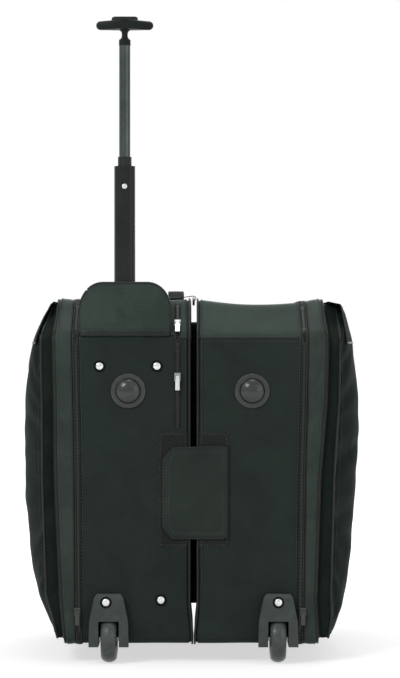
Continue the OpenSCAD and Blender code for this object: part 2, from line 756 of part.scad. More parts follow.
left_front_panel();
left_top_cover();
left_bottom_panel();
left_rear_panel();
left_inner_wall();
left_lid_zipper();
front_zipper();
pole_channel();
pole_well();
pole_top_bracket();
pole_foot_bracket();
pole_rivets();
hood_pocket();
left_dome_foot();
left_wheel_housing();
left_axle();
left_rear_foot();
left_loop_patch();
rear_spine();
carry_handle();
d_ring();
lower_tube();
tube_bush();
stop_pin();
upper_tube();
grip();
release_button();
release_rod();
left_tyre();
left_hub();
left_bearings();
right_tyre();
right_hub();
right_bearings();
right_front_panel();
right_top_cover();
right_bottom_panel();
right_rear_panel();
right_inner_wall();
right_lid_zipper();
right_dome_foot();
right_wheel_housing();
right_axle();
right_rivet();
right_rear_foot();
right_loop_patch();
laptop_divider();
closure_flap();
left_lid();
left_pocket();
right_lid();
right_pocket();
front_slider();
front_pull();
shoulder_slider();
shoulder_pull();
left_lid_slider();
left_lid_pull();
right_lid_slider();
right_lid_pull();
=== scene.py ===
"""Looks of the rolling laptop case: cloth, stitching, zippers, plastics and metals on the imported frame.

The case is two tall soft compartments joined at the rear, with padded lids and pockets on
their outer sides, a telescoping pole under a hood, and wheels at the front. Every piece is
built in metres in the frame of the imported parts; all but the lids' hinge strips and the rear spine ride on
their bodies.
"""

import json
import logging
import math
from dataclasses import dataclass, field
from enum import Enum
from typing import Callable, Sequence

import bmesh
import bpy
import numpy as np
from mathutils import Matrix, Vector

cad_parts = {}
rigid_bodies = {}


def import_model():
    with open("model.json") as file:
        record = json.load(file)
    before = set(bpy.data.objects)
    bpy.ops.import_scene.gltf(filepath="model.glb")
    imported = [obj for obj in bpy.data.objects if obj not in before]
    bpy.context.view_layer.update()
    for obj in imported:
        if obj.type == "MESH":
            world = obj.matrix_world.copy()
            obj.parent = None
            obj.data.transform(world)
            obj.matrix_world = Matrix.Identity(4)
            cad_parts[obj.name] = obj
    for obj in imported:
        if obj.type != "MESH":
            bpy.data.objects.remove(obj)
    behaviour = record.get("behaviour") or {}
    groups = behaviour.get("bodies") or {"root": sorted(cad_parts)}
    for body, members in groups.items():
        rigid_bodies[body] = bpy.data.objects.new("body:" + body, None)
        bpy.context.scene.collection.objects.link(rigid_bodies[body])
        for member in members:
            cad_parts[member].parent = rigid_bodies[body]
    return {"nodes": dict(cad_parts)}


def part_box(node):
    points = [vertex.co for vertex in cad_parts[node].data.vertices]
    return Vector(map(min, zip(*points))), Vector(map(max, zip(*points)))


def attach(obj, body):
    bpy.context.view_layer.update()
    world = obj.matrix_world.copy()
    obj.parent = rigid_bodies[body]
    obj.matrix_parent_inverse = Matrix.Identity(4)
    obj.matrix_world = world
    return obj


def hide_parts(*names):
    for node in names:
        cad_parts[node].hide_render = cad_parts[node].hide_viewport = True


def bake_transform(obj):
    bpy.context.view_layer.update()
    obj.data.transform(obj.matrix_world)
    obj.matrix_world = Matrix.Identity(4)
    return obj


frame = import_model()

LOG = logging.getLogger("laptop_case")
MM = 0.001
Points = np.ndarray
Shade = bpy.types.Material


class Side(Enum):
    """The two compartments, as the sign of their side of the gap."""

    LEFT = -1
    RIGHT = 1

    @property
    def word(self) -> str:
        """The side's name in the names of nodes and bodies."""
        return self.name.lower()


class Weave(Enum):
    """How the threads of a cloth cross."""

    PLAIN = "plain"
    TWILL = "twill"
    RIBBED = "ribbed"


# ---- small tools ----


def linear(code: str) -> tuple[float, float, float, float]:
    """Turns an sRGB hex colour into linear light.

    Args:
        code: six hex digits.

    Returns:
        The linear red, green and blue with an alpha of 1.
    """
    parts = [int(code[k : k + 2], 16) / 255 for k in (0, 2, 4)]
    light = [c / 12.92 if c <= 0.04045 else ((c + 0.055) / 1.055) ** 2.4 for c in parts]
    return (light[0], light[1], light[2], 1.0)


def ripple(a: Points, b: Points, period: float, seed: int) -> Points:
    """Gives smooth uneven waves, the same on every run.

    Args:
        a: first coordinate of each point in metres.
        b: second coordinate of each point in metres.
        period: usual distance between two waves in metres.
        seed: picks one set of waves.

    Returns:
        A value between about -1 and 1 for each point.
    """
    draw = np.random.default_rng(seed)
    total = np.zeros(np.shape(a))
    waves = 5
    for _ in range(waves):
        angle, phase, stretch = draw.uniform(0, math.pi), draw.uniform(0, 7), draw.uniform(0.6, 1.5)
        along = np.asarray(a) * math.cos(angle) + np.asarray(b) * math.sin(angle)
        total = total + np.sin(along * 2 * math.pi / (period * stretch) + phase)
    return total / waves


def ease(value: Points, low: float, high: float) -> Points:
    """Rises smoothly from 0 at low to 1 at high.

    Args:
        value: the points to look at.
        low: where the rise starts.
        high: where the rise ends.

    Returns:
        The share of the rise that each value has reached.
    """
    t = np.clip((np.asarray(value, dtype=float) - low) / (high - low), 0, 1)
    return t * t * (3 - 2 * t)


def new_piece(name: str, points: Points, faces: Sequence[Sequence[int]], shades: Sequence[Shade],
              which: Sequence[int] | None = None, smooth: bool = True) -> bpy.types.Object:
    """Makes a mesh object in the scene.

    Args:
        name: the piece's name.
        points: its corners, as rows of x, y and z in metres.
        faces: the corners of each face.
        shades: its materials.
        which: the number of the material of each face, the first where none is given.
        smooth: whether its faces are shaded as one smooth surface.

    Returns:
        The new object.
    """
    mesh = bpy.data.meshes.new(name)
    mesh.from_pydata([tuple(map(float, p)) for p in points], [], [tuple(f) for f in faces])
    for shade in shades:
        mesh.materials.append(shade)
    if which is not None:
        mesh.polygons.foreach_set("material_index", list(which))
    mesh.polygons.foreach_set("use_smooth", [smooth] * len(mesh.polygons))
    mesh.validate()
    tidy = bmesh.new()
    tidy.from_mesh(mesh)
    bmesh.ops.recalc_face_normals(tidy, faces=tidy.faces)
    tidy.to_mesh(mesh)
    tidy.free()
    piece = bpy.data.objects.new(name, mesh)
    bpy.context.scene.collection.objects.link(piece)
    return piece


def keep(piece: bpy.types.Object, body: str, nodes: Sequence[str] = ()) -> bpy.types.Object:
    """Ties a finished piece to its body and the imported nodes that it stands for.

    Args:
        piece: the piece.
        body: the body that it rides on.
        nodes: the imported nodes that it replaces.

    Returns:
        The same piece.
    """
    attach(piece, body)
    if nodes:
        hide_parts(*nodes)
    LOG.info("%s rides on %s, %d corners", piece.name, body, len(piece.data.vertices))
    return piece


def grid_faces(rows: int, columns: int, closed: bool = False, start: int = 0) -> list[list[int]]:
    """Lists the faces of a grid of points that are numbered row by row.

    Args:
        rows: number of rows.
        columns: number of points in a row.
        closed: whether each row joins back to its start.
        start: number of the first point.

    Returns:
        Four corners for each face.
    """
    faces = []
    for r in range(rows - 1):
        for c in range(columns if closed else columns - 1):
            d = (c + 1) % columns
            low, high = start + r * columns, start + (r + 1) * columns
            faces.append([low + c, low + d, high + d, high + c])
    return faces


def spaced(path: Points, step: float, closed: bool = False) -> Points:
    """Sets points at an even distance along a path.

    Args:
        path: the corners of the path.
        step: the wanted distance.
        closed: whether the path ends where it starts.

    Returns:
        The new points. A closed path's first point isn't repeated.
    """
    path = np.asarray(path, dtype=float)
    if closed:
        path = np.vstack([path, path[:1]])
    run = np.concatenate([[0], np.cumsum(np.linalg.norm(np.diff(path, axis=0), axis=1))])
    count = max(int(round(run[-1] / step)), 2)
    at = np.linspace(0, run[-1], count + 1)
    if closed:
        at = at[:-1]
    return np.stack([np.interp(at, run, path[:, k]) for k in range(path.shape[1])], axis=1)


def slab(name: str, front: Points, back: Points, shades: Sequence[Shade]) -> bpy.types.Object:
    """Makes a closed piece of two grids of points that face each other.

    Args:
        name: the piece's name.
        front: one face, as row by column by axis.
        back: the other face, in the same order.
        shades: the piece's materials.

    Returns:
        The new piece.
    """
    rows, columns = front.shape[:2]
    count = rows * columns
    faces = grid_faces(rows, columns) + [f[::-1] for f in grid_faces(rows, columns, start=count)]
    rim = grid_rim(rows, columns)
    for k, (r, c) in enumerate(rim):
        r2, c2 = rim[(k + 1) % len(rim)]
        a, b = r * columns + c, r2 * columns + c2
        faces.append([a, b, b + count, a + count])
    return new_piece(name, np.concatenate([front.reshape(-1, 3), back.reshape(-1, 3)]), faces, shades)


def grid_rim(rows: int, columns: int) -> list[tuple[int, int]]:
    """Lists the row and column of each point round the edge of a grid, in order."""
    return ([(0, c) for c in range(columns)] + [(r, columns - 1) for r in range(1, rows)]
            + [(rows - 1, c) for c in range(columns - 2, -1, -1)] + [(r, 0) for r in range(rows - 2, 0, -1)])


def headings(path: Points, closed: bool) -> Points:
    """Gives the direction of travel at each point of a path.

    Args:
        path: the points.
        closed: whether the path ends where it starts.

    Returns:
        One unit vector for each point.
    """
    if closed:
        run = np.roll(path, -1, axis=0) - np.roll(path, 1, axis=0)
    else:
        run = np.gradient(path, axis=0)
    return run / np.maximum(np.linalg.norm(run, axis=1, keepdims=True), 1e-9)


def sweep(path: Points, up: Points, profile: Points, closed: bool) -> tuple[Points, list[list[int]]]:
    """Carries a closed profile along a path.

    Args:
        path: the points of the path.
        up: the direction of the profile's second axis at each point.
        profile: the profile's corners, as sideways and upward distances.
        closed: whether the path ends where it starts.

    Returns:
        The points and the faces of the swept form, with ends closed.
    """
    ahead = headings(path, closed)
    up = up - ahead * np.sum(up * ahead, axis=1, keepdims=True)
    up = up / np.maximum(np.linalg.norm(up, axis=1, keepdims=True), 1e-9)
    aside = np.cross(ahead, up)
    rings = (path[:, None, :] + aside[:, None, :] * profile[None, :, :1]
             + up[:, None, :] * profile[None, :, 1:2])
    count = len(profile)
    faces = grid_faces(len(path), count, closed=True)
    if closed:
        last = (len(path) - 1) * count
        faces += [[last + c, last + (c + 1) % count, (c + 1) % count, c] for c in range(count)]
    else:
        faces += [list(range(count)), [(len(path) - 1) * count + c for c in range(count)]]
    return rings.reshape(-1, 3), faces


def round_profile(radius: float, sides: int = 8) -> Points:
    """Gives the corners of a circle of the given radius."""
    angle = np.linspace(0, 2 * math.pi, sides, endpoint=False)
    return np.stack([np.cos(angle), np.sin(angle)], axis=1) * radius


def strap_profile(width: float, thick: float) -> Points:
    """Gives the corners of a flat strap with soft edges.

    Args:
        width: width of the strap.
        thick: its thickness.

    Returns:
        The corners, with the strap lying on the first axis.
    """
    w, t, e = width / 2, thick, thick * 0.35
    return np.array([(-w + e, 0), (w - e, 0), (w, e), (w, t - e), (w - e, t), (w * 0.5, t * 1.04),
                     (0, t * 1.06), (-w * 0.5, t * 1.04), (-w + e, t), (-w, t - e), (-w, e)])


def rope(name: str, path: Points, radius: float, shade: Shade, closed: bool = False) -> bpy.types.Object:
    """Makes a round cord or piping along a path.

    Args:
        name: the piece's name.
        path: the points of its middle.
        radius: its radius.
        shade: its material.
        closed: whether the path ends where it starts.

    Returns:
        The new piece.
    """
    ahead = headings(path, closed)
    up = np.tile(np.array([[0.31, 0.17, 0.93]]), (len(path), 1))
    up = np.where(np.abs(np.sum(up * ahead, axis=1, keepdims=True)) > 0.9, [[0.9, 0.4, 0.1]], up)
    points, faces = sweep(path, up, round_profile(radius), closed)
    return new_piece(name, points, faces, [shade])


def stitches(name: str, path: Points, out: Points, shade: Shade, pitch: float = 4.6 * MM,
             long: float = 3.3 * MM, thick: float = 0.55 * MM) -> bpy.types.Object:
    """Lays a row of sewn stitches on a surface.

    Args:
        name: the piece's name.
        path: the points of the seam.
        out: the surface's direction at each point of the seam.
        shade: the thread's material.
        pitch: distance from one stitch to the next. Real ones are 3 mm apart, drawn coarser.
        long: length of the visible part of a stitch.
        thick: half the width of the thread, drawn coarser than the real 0.3 mm.

    Returns:
        The new piece.
    """
    both = spaced(np.hstack([path, out]), pitch)
    at, up = both[:, :3], both[:, 3:]
    up = up / np.maximum(np.linalg.norm(up, axis=1, keepdims=True), 1e-9)
    ahead = headings(at, False)
    aside = np.cross(ahead, up)
    form = [(-0.5, 0, -0.4), (-0.3, 0.8, 0.2), (-0.3, -0.8, 0.2), (0, 0.9, 0.3), (0, -0.9, 0.3),
            (0, 0, 1), (0.3, 0.8, 0.2), (0.3, -0.8, 0.2), (0.5, 0, -0.4), (-0.3, 0, 0.8), (0.3, 0, 0.8)]
    skin = [(0, 1, 9), (0, 9, 2), (1, 3, 5, 9), (2, 9, 5, 4), (3, 6, 10, 5), (4, 5, 10, 7), (6, 8, 10),
            (10, 8, 7), (0, 2, 4, 7, 8, 6, 3, 1)]
    points = np.concatenate([at + ahead * f[0] * long + aside * f[1] * thick + up * f[2] * thick * 1.3
                             for f in form]).reshape(len(form), -1, 3).transpose(1, 0, 2)
    faces = [[k * len(form) + c for c in f] for k in range(len(at)) for f in skin]
    return new_piece(name, points.reshape(-1, 3), faces, [shade])


def joined(name: str, pieces: Sequence[bpy.types.Object]) -> bpy.types.Object:
    """Makes one object of several.

    Args:
        name: name of the whole.
        pieces: the objects, which are used up.

    Returns:
        The object that holds them all.
    """
    with bpy.context.temp_override(active_object=pieces[0], selected_editable_objects=list(pieces)):
        bpy.ops.object.join()
    pieces[0].name = name
    pieces[0].data.name = name
    return pieces[0]


def apply_all(piece: bpy.types.Object) -> None:
    """Turns a piece's modifiers into its mesh."""
    shown = piece.evaluated_get(bpy.context.evaluated_depsgraph_get())
    mesh = bpy.data.meshes.new_from_object(shown)
    piece.modifiers.clear()
    piece.data = mesh


def soften(piece: bpy.types.Object, width: float) -> None:
    """Rounds the sharp edges of a piece, as a mould or a tumbling drum does."""
    bevel = piece.modifiers.new("Rounded edges", "BEVEL")
    bevel.width, bevel.segments, bevel.limit_method = width, 2, "ANGLE"
    bevel.angle_limit = math.radians(38)
    bevel.harden_normals = False


# ---- finishes ----


def add_node(tree: bpy.types.NodeTree, kind: str, inputs: dict | None = None, **settings) -> bpy.types.Node:
    """Adds a node with its settings and links.

    Args:
        tree: the material's nodes.
        kind: the node's type.
        inputs: a value or another node's socket for each named or numbered input.
        **settings: the node's own settings.

    Returns:
        The new node.
    """
    node = tree.nodes.new(kind)
    for name, value in settings.items():
        setattr(node, name, value)
    for key, value in (inputs or {}).items():
        if isinstance(value, bpy.types.NodeSocket):
            tree.links.new(value, node.inputs[key])
        else:
            node.inputs[key].default_value = value
    return node


@dataclass(frozen=True)
class Finish:
    """What every finish has: a colour that varies, a roughness that varies, and a relief.

    The colour moves between two tones with a slow cloudiness and a fine grain. Subclasses
    give the relief.
    """

    name: str
    tone: str
    light_tone: str
    rough: float = 0.7
    rough_spread: float = 0.08
    cloud: float = 0.06
    grain: float = 0.0012
    relief: float = 0.0003
    relief_strength: float = 0.5
    metallic: float = 0.0
    ior: float = 1.5
    mirror: float = 0.5
    sheen: float = 0.0
    sheen_rough: float = 0.5
    coat: float = 0.0
    coat_rough: float = 0.1

    def pattern(self, tree: bpy.types.NodeTree, place: bpy.types.NodeSocket) -> bpy.types.NodeSocket:
        """Gives the height of the relief: here the fine grain alone."""
        return add_node(tree, "ShaderNodeTexNoise", {"Vector": place, "Scale": 1 / self.grain,
                        "Detail": 4.0, "Roughness": 0.6}).outputs["Fac"]

    def wear(self, tree: bpy.types.NodeTree, place: bpy.types.NodeSocket) -> bpy.types.NodeSocket:
        """Gives the share of the lighter tone: clouds of handling and dust over a fine grain."""
        clouds = add_node(tree, "ShaderNodeTexNoise", {"Vector": place, "Scale": 1 / self.cloud,
                          "Detail": 5.0, "Roughness": 0.62, "Distortion": 0.4})
        grain = add_node(tree, "ShaderNodeTexNoise", {"Vector": place, "Scale": 1 / self.grain,
                         "Detail": 3.0, "Roughness": 0.7})
        both = add_node(tree, "ShaderNodeMix", {"Factor": 0.42, 2: clouds.outputs["Fac"],
                        3: grain.outputs["Fac"]})
        return add_node(tree, "ShaderNodeMapRange", {"Value": both.outputs[0], "From Min": 0.36,
                        "From Max": 0.66}).outputs["Result"]

    def build(self) -> Shade:
        """Makes the material.

        Returns:
            The material, with its shader, colour, roughness and relief nodes linked.
        """
        shade = bpy.data.materials.new(self.name)
        shade.use_nodes = True
        tree = shade.node_tree
        tree.nodes.clear()
        place = add_node(tree, "ShaderNodeTexCoord").outputs["Object"]
        height = self.pattern(tree, place)
        share = self.wear(tree, place)
        colour = add_node(tree, "ShaderNodeMix", {"Factor": share, 6: linear(self.tone),
                          7: linear(self.light_tone)}, data_type="RGBA")
        # Painted shade: the colour is darkened where the relief is low, in the hollows of the threads,
        # pebbles and loops, and lightened a touch on its tops.
        shadowed = add_node(tree, "ShaderNodeMapRange", {"Value": height, "To Min": 0.8, "To Max": 1.06})
        deep = add_node(tree, "ShaderNodeMix", {"Factor": 1.0, 6: colour.outputs[2],
                        7: shadowed.outputs["Result"]}, data_type="RGBA", blend_type="MULTIPLY")
        rough = add_node(tree, "ShaderNodeMapRange", {
            "Value": share, "To Min": self.rough - self.rough_spread,
            "To Max": min(self.rough + self.rough_spread, 1.0)})
        bump = add_node(tree, "ShaderNodeBump", {"Height": height, "Strength": self.relief_strength,
                        "Distance": self.relief})
        shader = add_node(tree, "ShaderNodeBsdfPrincipled", {
            "Base Color": deep.outputs[2], "Roughness": rough.outputs["Result"],
            "Normal": bump.outputs["Normal"], "Metallic": self.metallic, "Sheen Weight": self.sheen,
            "Sheen Roughness": self.sheen_rough, "Coat Weight": self.coat,
            "Coat Roughness": self.coat_rough, "Specular IOR Level": self.mirror,
            **({} if self.metallic else {"IOR": self.ior})})
        add_node(tree, "ShaderNodeOutputMaterial", {"Surface": shader.outputs[0]})
        return shade


@dataclass(frozen=True)
class Cloth(Finish):
    """A woven cloth, with threads that cross in the two directions of any flat side.

    Its threads hide most of the mirror share that their plastic has on its own.
    """

    mirror: float = 0.12
    weave: Weave = Weave.PLAIN
    thread: float = 0.0015
    slub: float = 0.35

    def pattern(self, tree: bpy.types.NodeTree, place: bpy.types.NodeSocket) -> bpy.types.NodeSocket:
        """Adds up waves along the three axes, which cross as warp and weft on any flat side."""
        period = 0.314 / self.thread  # the scale at which a wave repeats once in a thread
        uneven = add_node(tree, "ShaderNodeTexNoise", {"Vector": place, "Scale": 1 / 0.004, "Detail": 2.0})
        total = None
        for axis in ("X", "Y", "Z"):
            scale = period * (0.35 if self.weave is Weave.RIBBED and axis == "Z" else 1.0)
            direction = "DIAGONAL" if self.weave is Weave.TWILL and axis != "Y" else axis
            wave = add_node(tree, "ShaderNodeTexWave", {"Vector": place, "Scale": scale, "Distortion": 0.9,
                            "Detail": 1.0, "Detail Scale": 1.5}, bands_direction=direction)
            half = add_node(tree, "ShaderNodeMath", {0: wave.outputs["Fac"], 1: 0.36}, operation="MULTIPLY")
            total = half.outputs[0] if total is None else add_node(
                tree, "ShaderNodeMath", {0: total, 1: half.outputs[0]}, operation="ADD").outputs[0]
        return add_node(tree, "ShaderNodeMix", {"Factor": self.slub, 2: total,
                        3: uneven.outputs["Fac"]}).outputs[0]


@dataclass(frozen=True)
class Pile(Finish):
    """A looped or brushed pile: a dense mass of tiny hooks of thread."""

    mirror: float = 0.05
    loop: float = 0.0016

    def pattern(self, tree: bpy.types.NodeTree, place: bpy.types.NodeSocket) -> bpy.types.NodeSocket:
        """Gives the round tops of the loops."""
        cells = add_node(tree, "ShaderNodeTexVoronoi", {"Vector": place, "Scale": 1 / self.loop})
        return add_node(tree, "ShaderNodeMapRange", {"Value": cells.outputs["Distance"], "From Max": 0.7,
                        "To Min": 1.0, "To Max": 0.0}).outputs["Result"]


@dataclass(frozen=True)
class Moulded(Finish):
    """A moulded plastic or rubber with the pebbled skin of a spark-eroded mould."""

    pebble: float = 0.0014

    def pattern(self, tree: bpy.types.NodeTree, place: bpy.types.NodeSocket) -> bpy.types.NodeSocket:
        """Gives soft pebbles with a few longer scuffs among them."""
        cells = add_node(tree, "ShaderNodeTexVoronoi", {"Vector": place, "Scale": 1 / self.pebble,
                         "Smoothness": 0.7}, feature="SMOOTH_F1")
        long = add_node(tree, "ShaderNodeMapping", {"Vector": place, "Scale": (240.0, 240.0, 22.0)})
        scuffs = add_node(tree, "ShaderNodeTexNoise", {"Vector": long.outputs[0], "Scale": 1.0,
                          "Detail": 3.0})
        return add_node(tree, "ShaderNodeMix", {"Factor": 0.3, 2: cells.outputs["Distance"],
                        3: scuffs.outputs["Fac"]}).outputs[0]


@dataclass(frozen=True)
class Drawn(Finish):
    """A drawn, brushed or polished metal, with fine lines along one axis."""

    along: tuple[float, float, float] = (1500.0, 1500.0, 18.0)

    def pattern(self, tree: bpy.types.NodeTree, place: bpy.types.NodeSocket) -> bpy.types.NodeSocket:
        """Gives lines that run the way the metal was drawn."""
        long = add_node(tree, "ShaderNodeMapping", {"Vector": place, "Scale": self.along})
        return add_node(tree, "ShaderNodeTexNoise", {"Vector": long.outputs[0], "Scale": 1.0,
                        "Detail": 5.0, "Roughness": 0.6}).outputs["Fac"]


@dataclass
class Finishes:
    """The materials of the whole case, each built once."""

    made: dict[str, Shade] = field(default_factory=dict)

    def build(self) -> "Finishes":
        """Makes every material.

        Returns:
            This object, with its materials made.
        """
        for key, finish in self.recipes().items():
            self.made[key] = finish.build()
            LOG.info("finish %s: %s", key, finish.name)
        return self

    def __getitem__(self, key: str) -> Shade:
        """Gives the material of a finish by its short name."""
        return self.made[key]

    @staticmethod
    def recipes() -> dict[str, Finish]:
        """Lists the finishes by short name.

        Returns:
            The recipe of each finish.
        """
        return {
            # Plain-woven nylon with a dull coating: near black with a green cast, soft sheen at edges.
            # Its threads are 0.5 mm apart and drawn three times coarser.
            "panel": Cloth("woven nylon panel cloth", "222b27", "333d38", rough=0.68, sheen=0.03,
                           sheen_rough=0.4, relief=0.00028, relief_strength=0.55),
            # A paler copy of the same nylon: painted light for the shoulder and top, which face the light
            # from above; the hood wears it too.
            "padded": Cloth("woven nylon over foam", "303c36", "46544d", rough=0.56, sheen=0.05,
                            sheen_rough=0.35, relief=0.0003, relief_strength=0.5, cloud=0.045),
            # The flap's nylon is backed with foam and a shade paler than the panels.
            "flap": Cloth("laminated nylon flap cloth", "27302c", "38423c", rough=0.6, sheen=0.04,
                          relief=0.00028, relief_strength=0.5),
            # A closer weave with a satin face that takes long soft highlights.
            "gusset": Cloth("satin-faced nylon gusset", "2e3a34", "46524b", rough=0.42, sheen=0.12,
                            sheen_rough=0.3, relief=0.00022, relief_strength=0.45, cloud=0.05),
            # Softer nylon of the pockets, creased by what is put in them.
            "pocket": Cloth("soft nylon pocket cloth", "1c2420", "2c3530", rough=0.62, mirror=0.02,
                            sheen=0.015, sheen_rough=0.35, relief=0.00028, relief_strength=0.5, cloud=0.035),
            # Shiny taffeta, 0.25 mm threads drawn at 1 mm.
            "lining": Cloth("polyester taffeta lining", "3a3836", "4c4946", rough=0.42, sheen=0.1,
                            thread=0.001, relief=0.00012, relief_strength=0.4, cloud=0.03),
            # Ribbed strap webbing, its ribs 1.2 mm apart.
            "webbing": Cloth("nylon strap webbing", "161a18", "272d2a", rough=0.6, sheen=0.06,
                             weave=Weave.RIBBED, thread=0.0012, relief=0.0005, relief_strength=0.7,
                             slub=0.2),
            # Twill tape of a zipper, drawn at twice its 0.4 mm.
            "tape": Cloth("polyester zipper tape", "141817", "222826", rough=0.7, weave=Weave.TWILL,
                          thread=0.0009, relief=0.00015, relief_strength=0.5),
            # Loops of a hook-and-loop tape: matt, speckled where loops catch light.
            "loop": Pile("nylon loop pile", "171b1a", "2c3230", rough=0.9, sheen=0.3, sheen_rough=0.6,
                         relief=0.0009, relief_strength=0.8, grain=0.0018),
            # Piping: a cord wrapped in coated nylon, with a narrow highlight along it.
            "piping": Cloth("coated nylon piping", "171b19", "2d3431", rough=0.38, sheen=0.1,
                            thread=0.0012, relief=0.00015, relief_strength=0.4, coat=0.15, coat_rough=0.35),
            # Spun polyester thread, a shade lighter than the cloth it holds.
            "thread": Cloth("spun polyester thread", "4a524e", "6a736e", rough=0.65, thread=0.0006,
                            relief=0.0001, relief_strength=0.5),
            # Nylon coil of the zippers: dark, with a glint on each turn.
            "coil": Finish("nylon zipper coil", "0c0e0d", "1a1e1c", rough=0.42, grain=0.001,
                           relief=0.00005, relief_strength=0.3),
            # Moulded polypropylene of the housings: mid grey, pebbled, scuffed paler.
            "housing": Moulded("moulded polypropylene housing", "3d4541", "525b57", rough=0.4, mirror=0.25,
                               coat=0.04, coat_rough=0.3, rough_spread=0.12, relief=0.00018,
                               relief_strength=0.45, cloud=0.02),
            # Glossy acetal of the dome feet, with a tight highlight.
            "dome": Moulded("polished acetal dome", "1c2320", "2d3531", rough=0.26, rough_spread=0.05,
                            mirror=0.4, relief=0.00005, relief_strength=0.2, cloud=0.012,
                            coat=0.3, coat_rough=0.1),
            # A near-black ring round each rivet head, painted shade that stands for the recess round the
            # head: matt and almost without a highlight.
            "washer": Moulded("black nylon washer", "090b0a", "131615", rough=0.7, mirror=0.1,
                              relief=0.00008, relief_strength=0.3, pebble=0.0008, cloud=0.01),
            # Glass-filled nylon: dark, fine and dull.
            "hard": Moulded("glass-filled nylon", "191c1b", "2c302e", rough=0.5, mirror=0.25, relief=0.00012,
                            relief_strength=0.4, pebble=0.001, cloud=0.015),
            # Soft-touch elastomer over the grip, rubbed shinier by hands.
            "grip": Moulded("soft-touch elastomer grip", "141a17", "282f2c", rough=0.46, mirror=0.12,
                            rough_spread=0.14, relief=0.0001, relief_strength=0.35,
                            pebble=0.0009, cloud=0.018, sheen=0.08),
            # Polyurethane tyre: mid grey, polished where it rolls.
            "tyre": Moulded("cast polyurethane tyre", "3e4642", "59625e", rough=0.3, rough_spread=0.1,
                            mirror=0.3, relief=0.0001, relief_strength=0.3, cloud=0.01,
                            coat=0.2, coat_rough=0.25),
            # Nylon wheel centre.
            "hub": Moulded("moulded nylon hub", "3c4240", "575e5b", rough=0.42, relief=0.0001,
                           relief_strength=0.3, cloud=0.012),
            # Black stoved paint on steel: smooth with faint orange peel.
            "paint": Drawn("stoved black enamel on steel", "141a18", "232a27", rough=0.3, rough_spread=0.07,
                           mirror=0.2, relief=0.00004, relief_strength=0.25, coat=0.06, coat_rough=0.12,
                           along=(420.0, 420.0, 60.0), cloud=0.03),
            # The upper tube has more gloss: dark nickel that mirrors the room in long streaks.
            "nickel": Drawn("black nickel on steel", "3c4441", "565e5b", rough=0.2, rough_spread=0.06,
                            metallic=1.0, relief=0.00003, relief_strength=0.2, cloud=0.05),
            # Drawn aluminium of the hidden channel.
            "aluminium": Drawn("drawn aluminium", "9da09f", "b6b9b8", rough=0.34, metallic=1.0,
                               relief=0.00004, relief_strength=0.3),
            # Zinc-plated steel of brackets, axles and bearings.
            "steel": Drawn("zinc-plated steel", "8e9291", "b4b8b6", rough=0.28, metallic=1.0,
                           relief=0.00003, relief_strength=0.25, along=(300.0, 300.0, 300.0), cloud=0.01),
            # Tumbled nickel of the rivets: bright and slightly cloudy.
            "rivet": Drawn("tumbled nickel rivet", "c9cccb", "e6e8e7", rough=0.24, metallic=1.0,
                           relief=0.00003, relief_strength=0.2, along=(500.0, 500.0, 500.0), cloud=0.006),
            # Die-cast zinc sliders, plated dark.
            "slider": Drawn("plated zinc slider", "7d8280", "a2a6a4", rough=0.3, metallic=1.0,
                            relief=0.00004, relief_strength=0.3, along=(400.0, 400.0, 400.0), cloud=0.005),
            # The lids' sliders and pulls are lacquered black, with only a dull glint.
            "dark_slider": Drawn("black lacquered zinc", "1b1f1d", "2c312f", rough=0.4, relief=0.00004,
                                 relief_strength=0.3, coat=0.3, coat_rough=0.3, along=(400.0, 400.0, 400.0)),
            # Pull tabs, plated bright.
            "pull": Drawn("bright nickel pull tab", "c4c8c6", "e4e7e5", rough=0.18, metallic=1.0,
                          relief=0.00003, relief_strength=0.2, along=(600.0, 600.0, 90.0), cloud=0.006),
        }


# ---- the case's frame ----


def arc(q: Vector, toward: Vector, after: Vector, radius: float,
        steps: int = 7) -> list[tuple[float, float]]:
    """Rounds one corner of an outline.

    Args:
        q: the corner.
        toward: the corner before it.
        after: the corner after it.
        radius: radius of the fold.
        steps: number of steps in the fold.

    Returns:
        The points of the fold.
    """
    u, v = (toward - q).normalized(), (after - q).normalized()
    half = math.acos(max(-1.0, min(1.0, u.dot(v)))) / 2
    middle = q + (u + v).normalized() * (radius / math.sin(half))
    a, b = q + u * (radius / math.tan(half)) - middle, q + v * (radius / math.tan(half)) - middle
    start = math.atan2(a.y, a.x)
    turn = (math.atan2(b.y, b.x) - start + math.pi) % (2 * math.pi) - math.pi
    return [(middle.x + radius * math.cos(start + turn * k / steps),
             middle.y + radius * math.sin(start + turn * k / steps)) for k in range(steps + 1)]


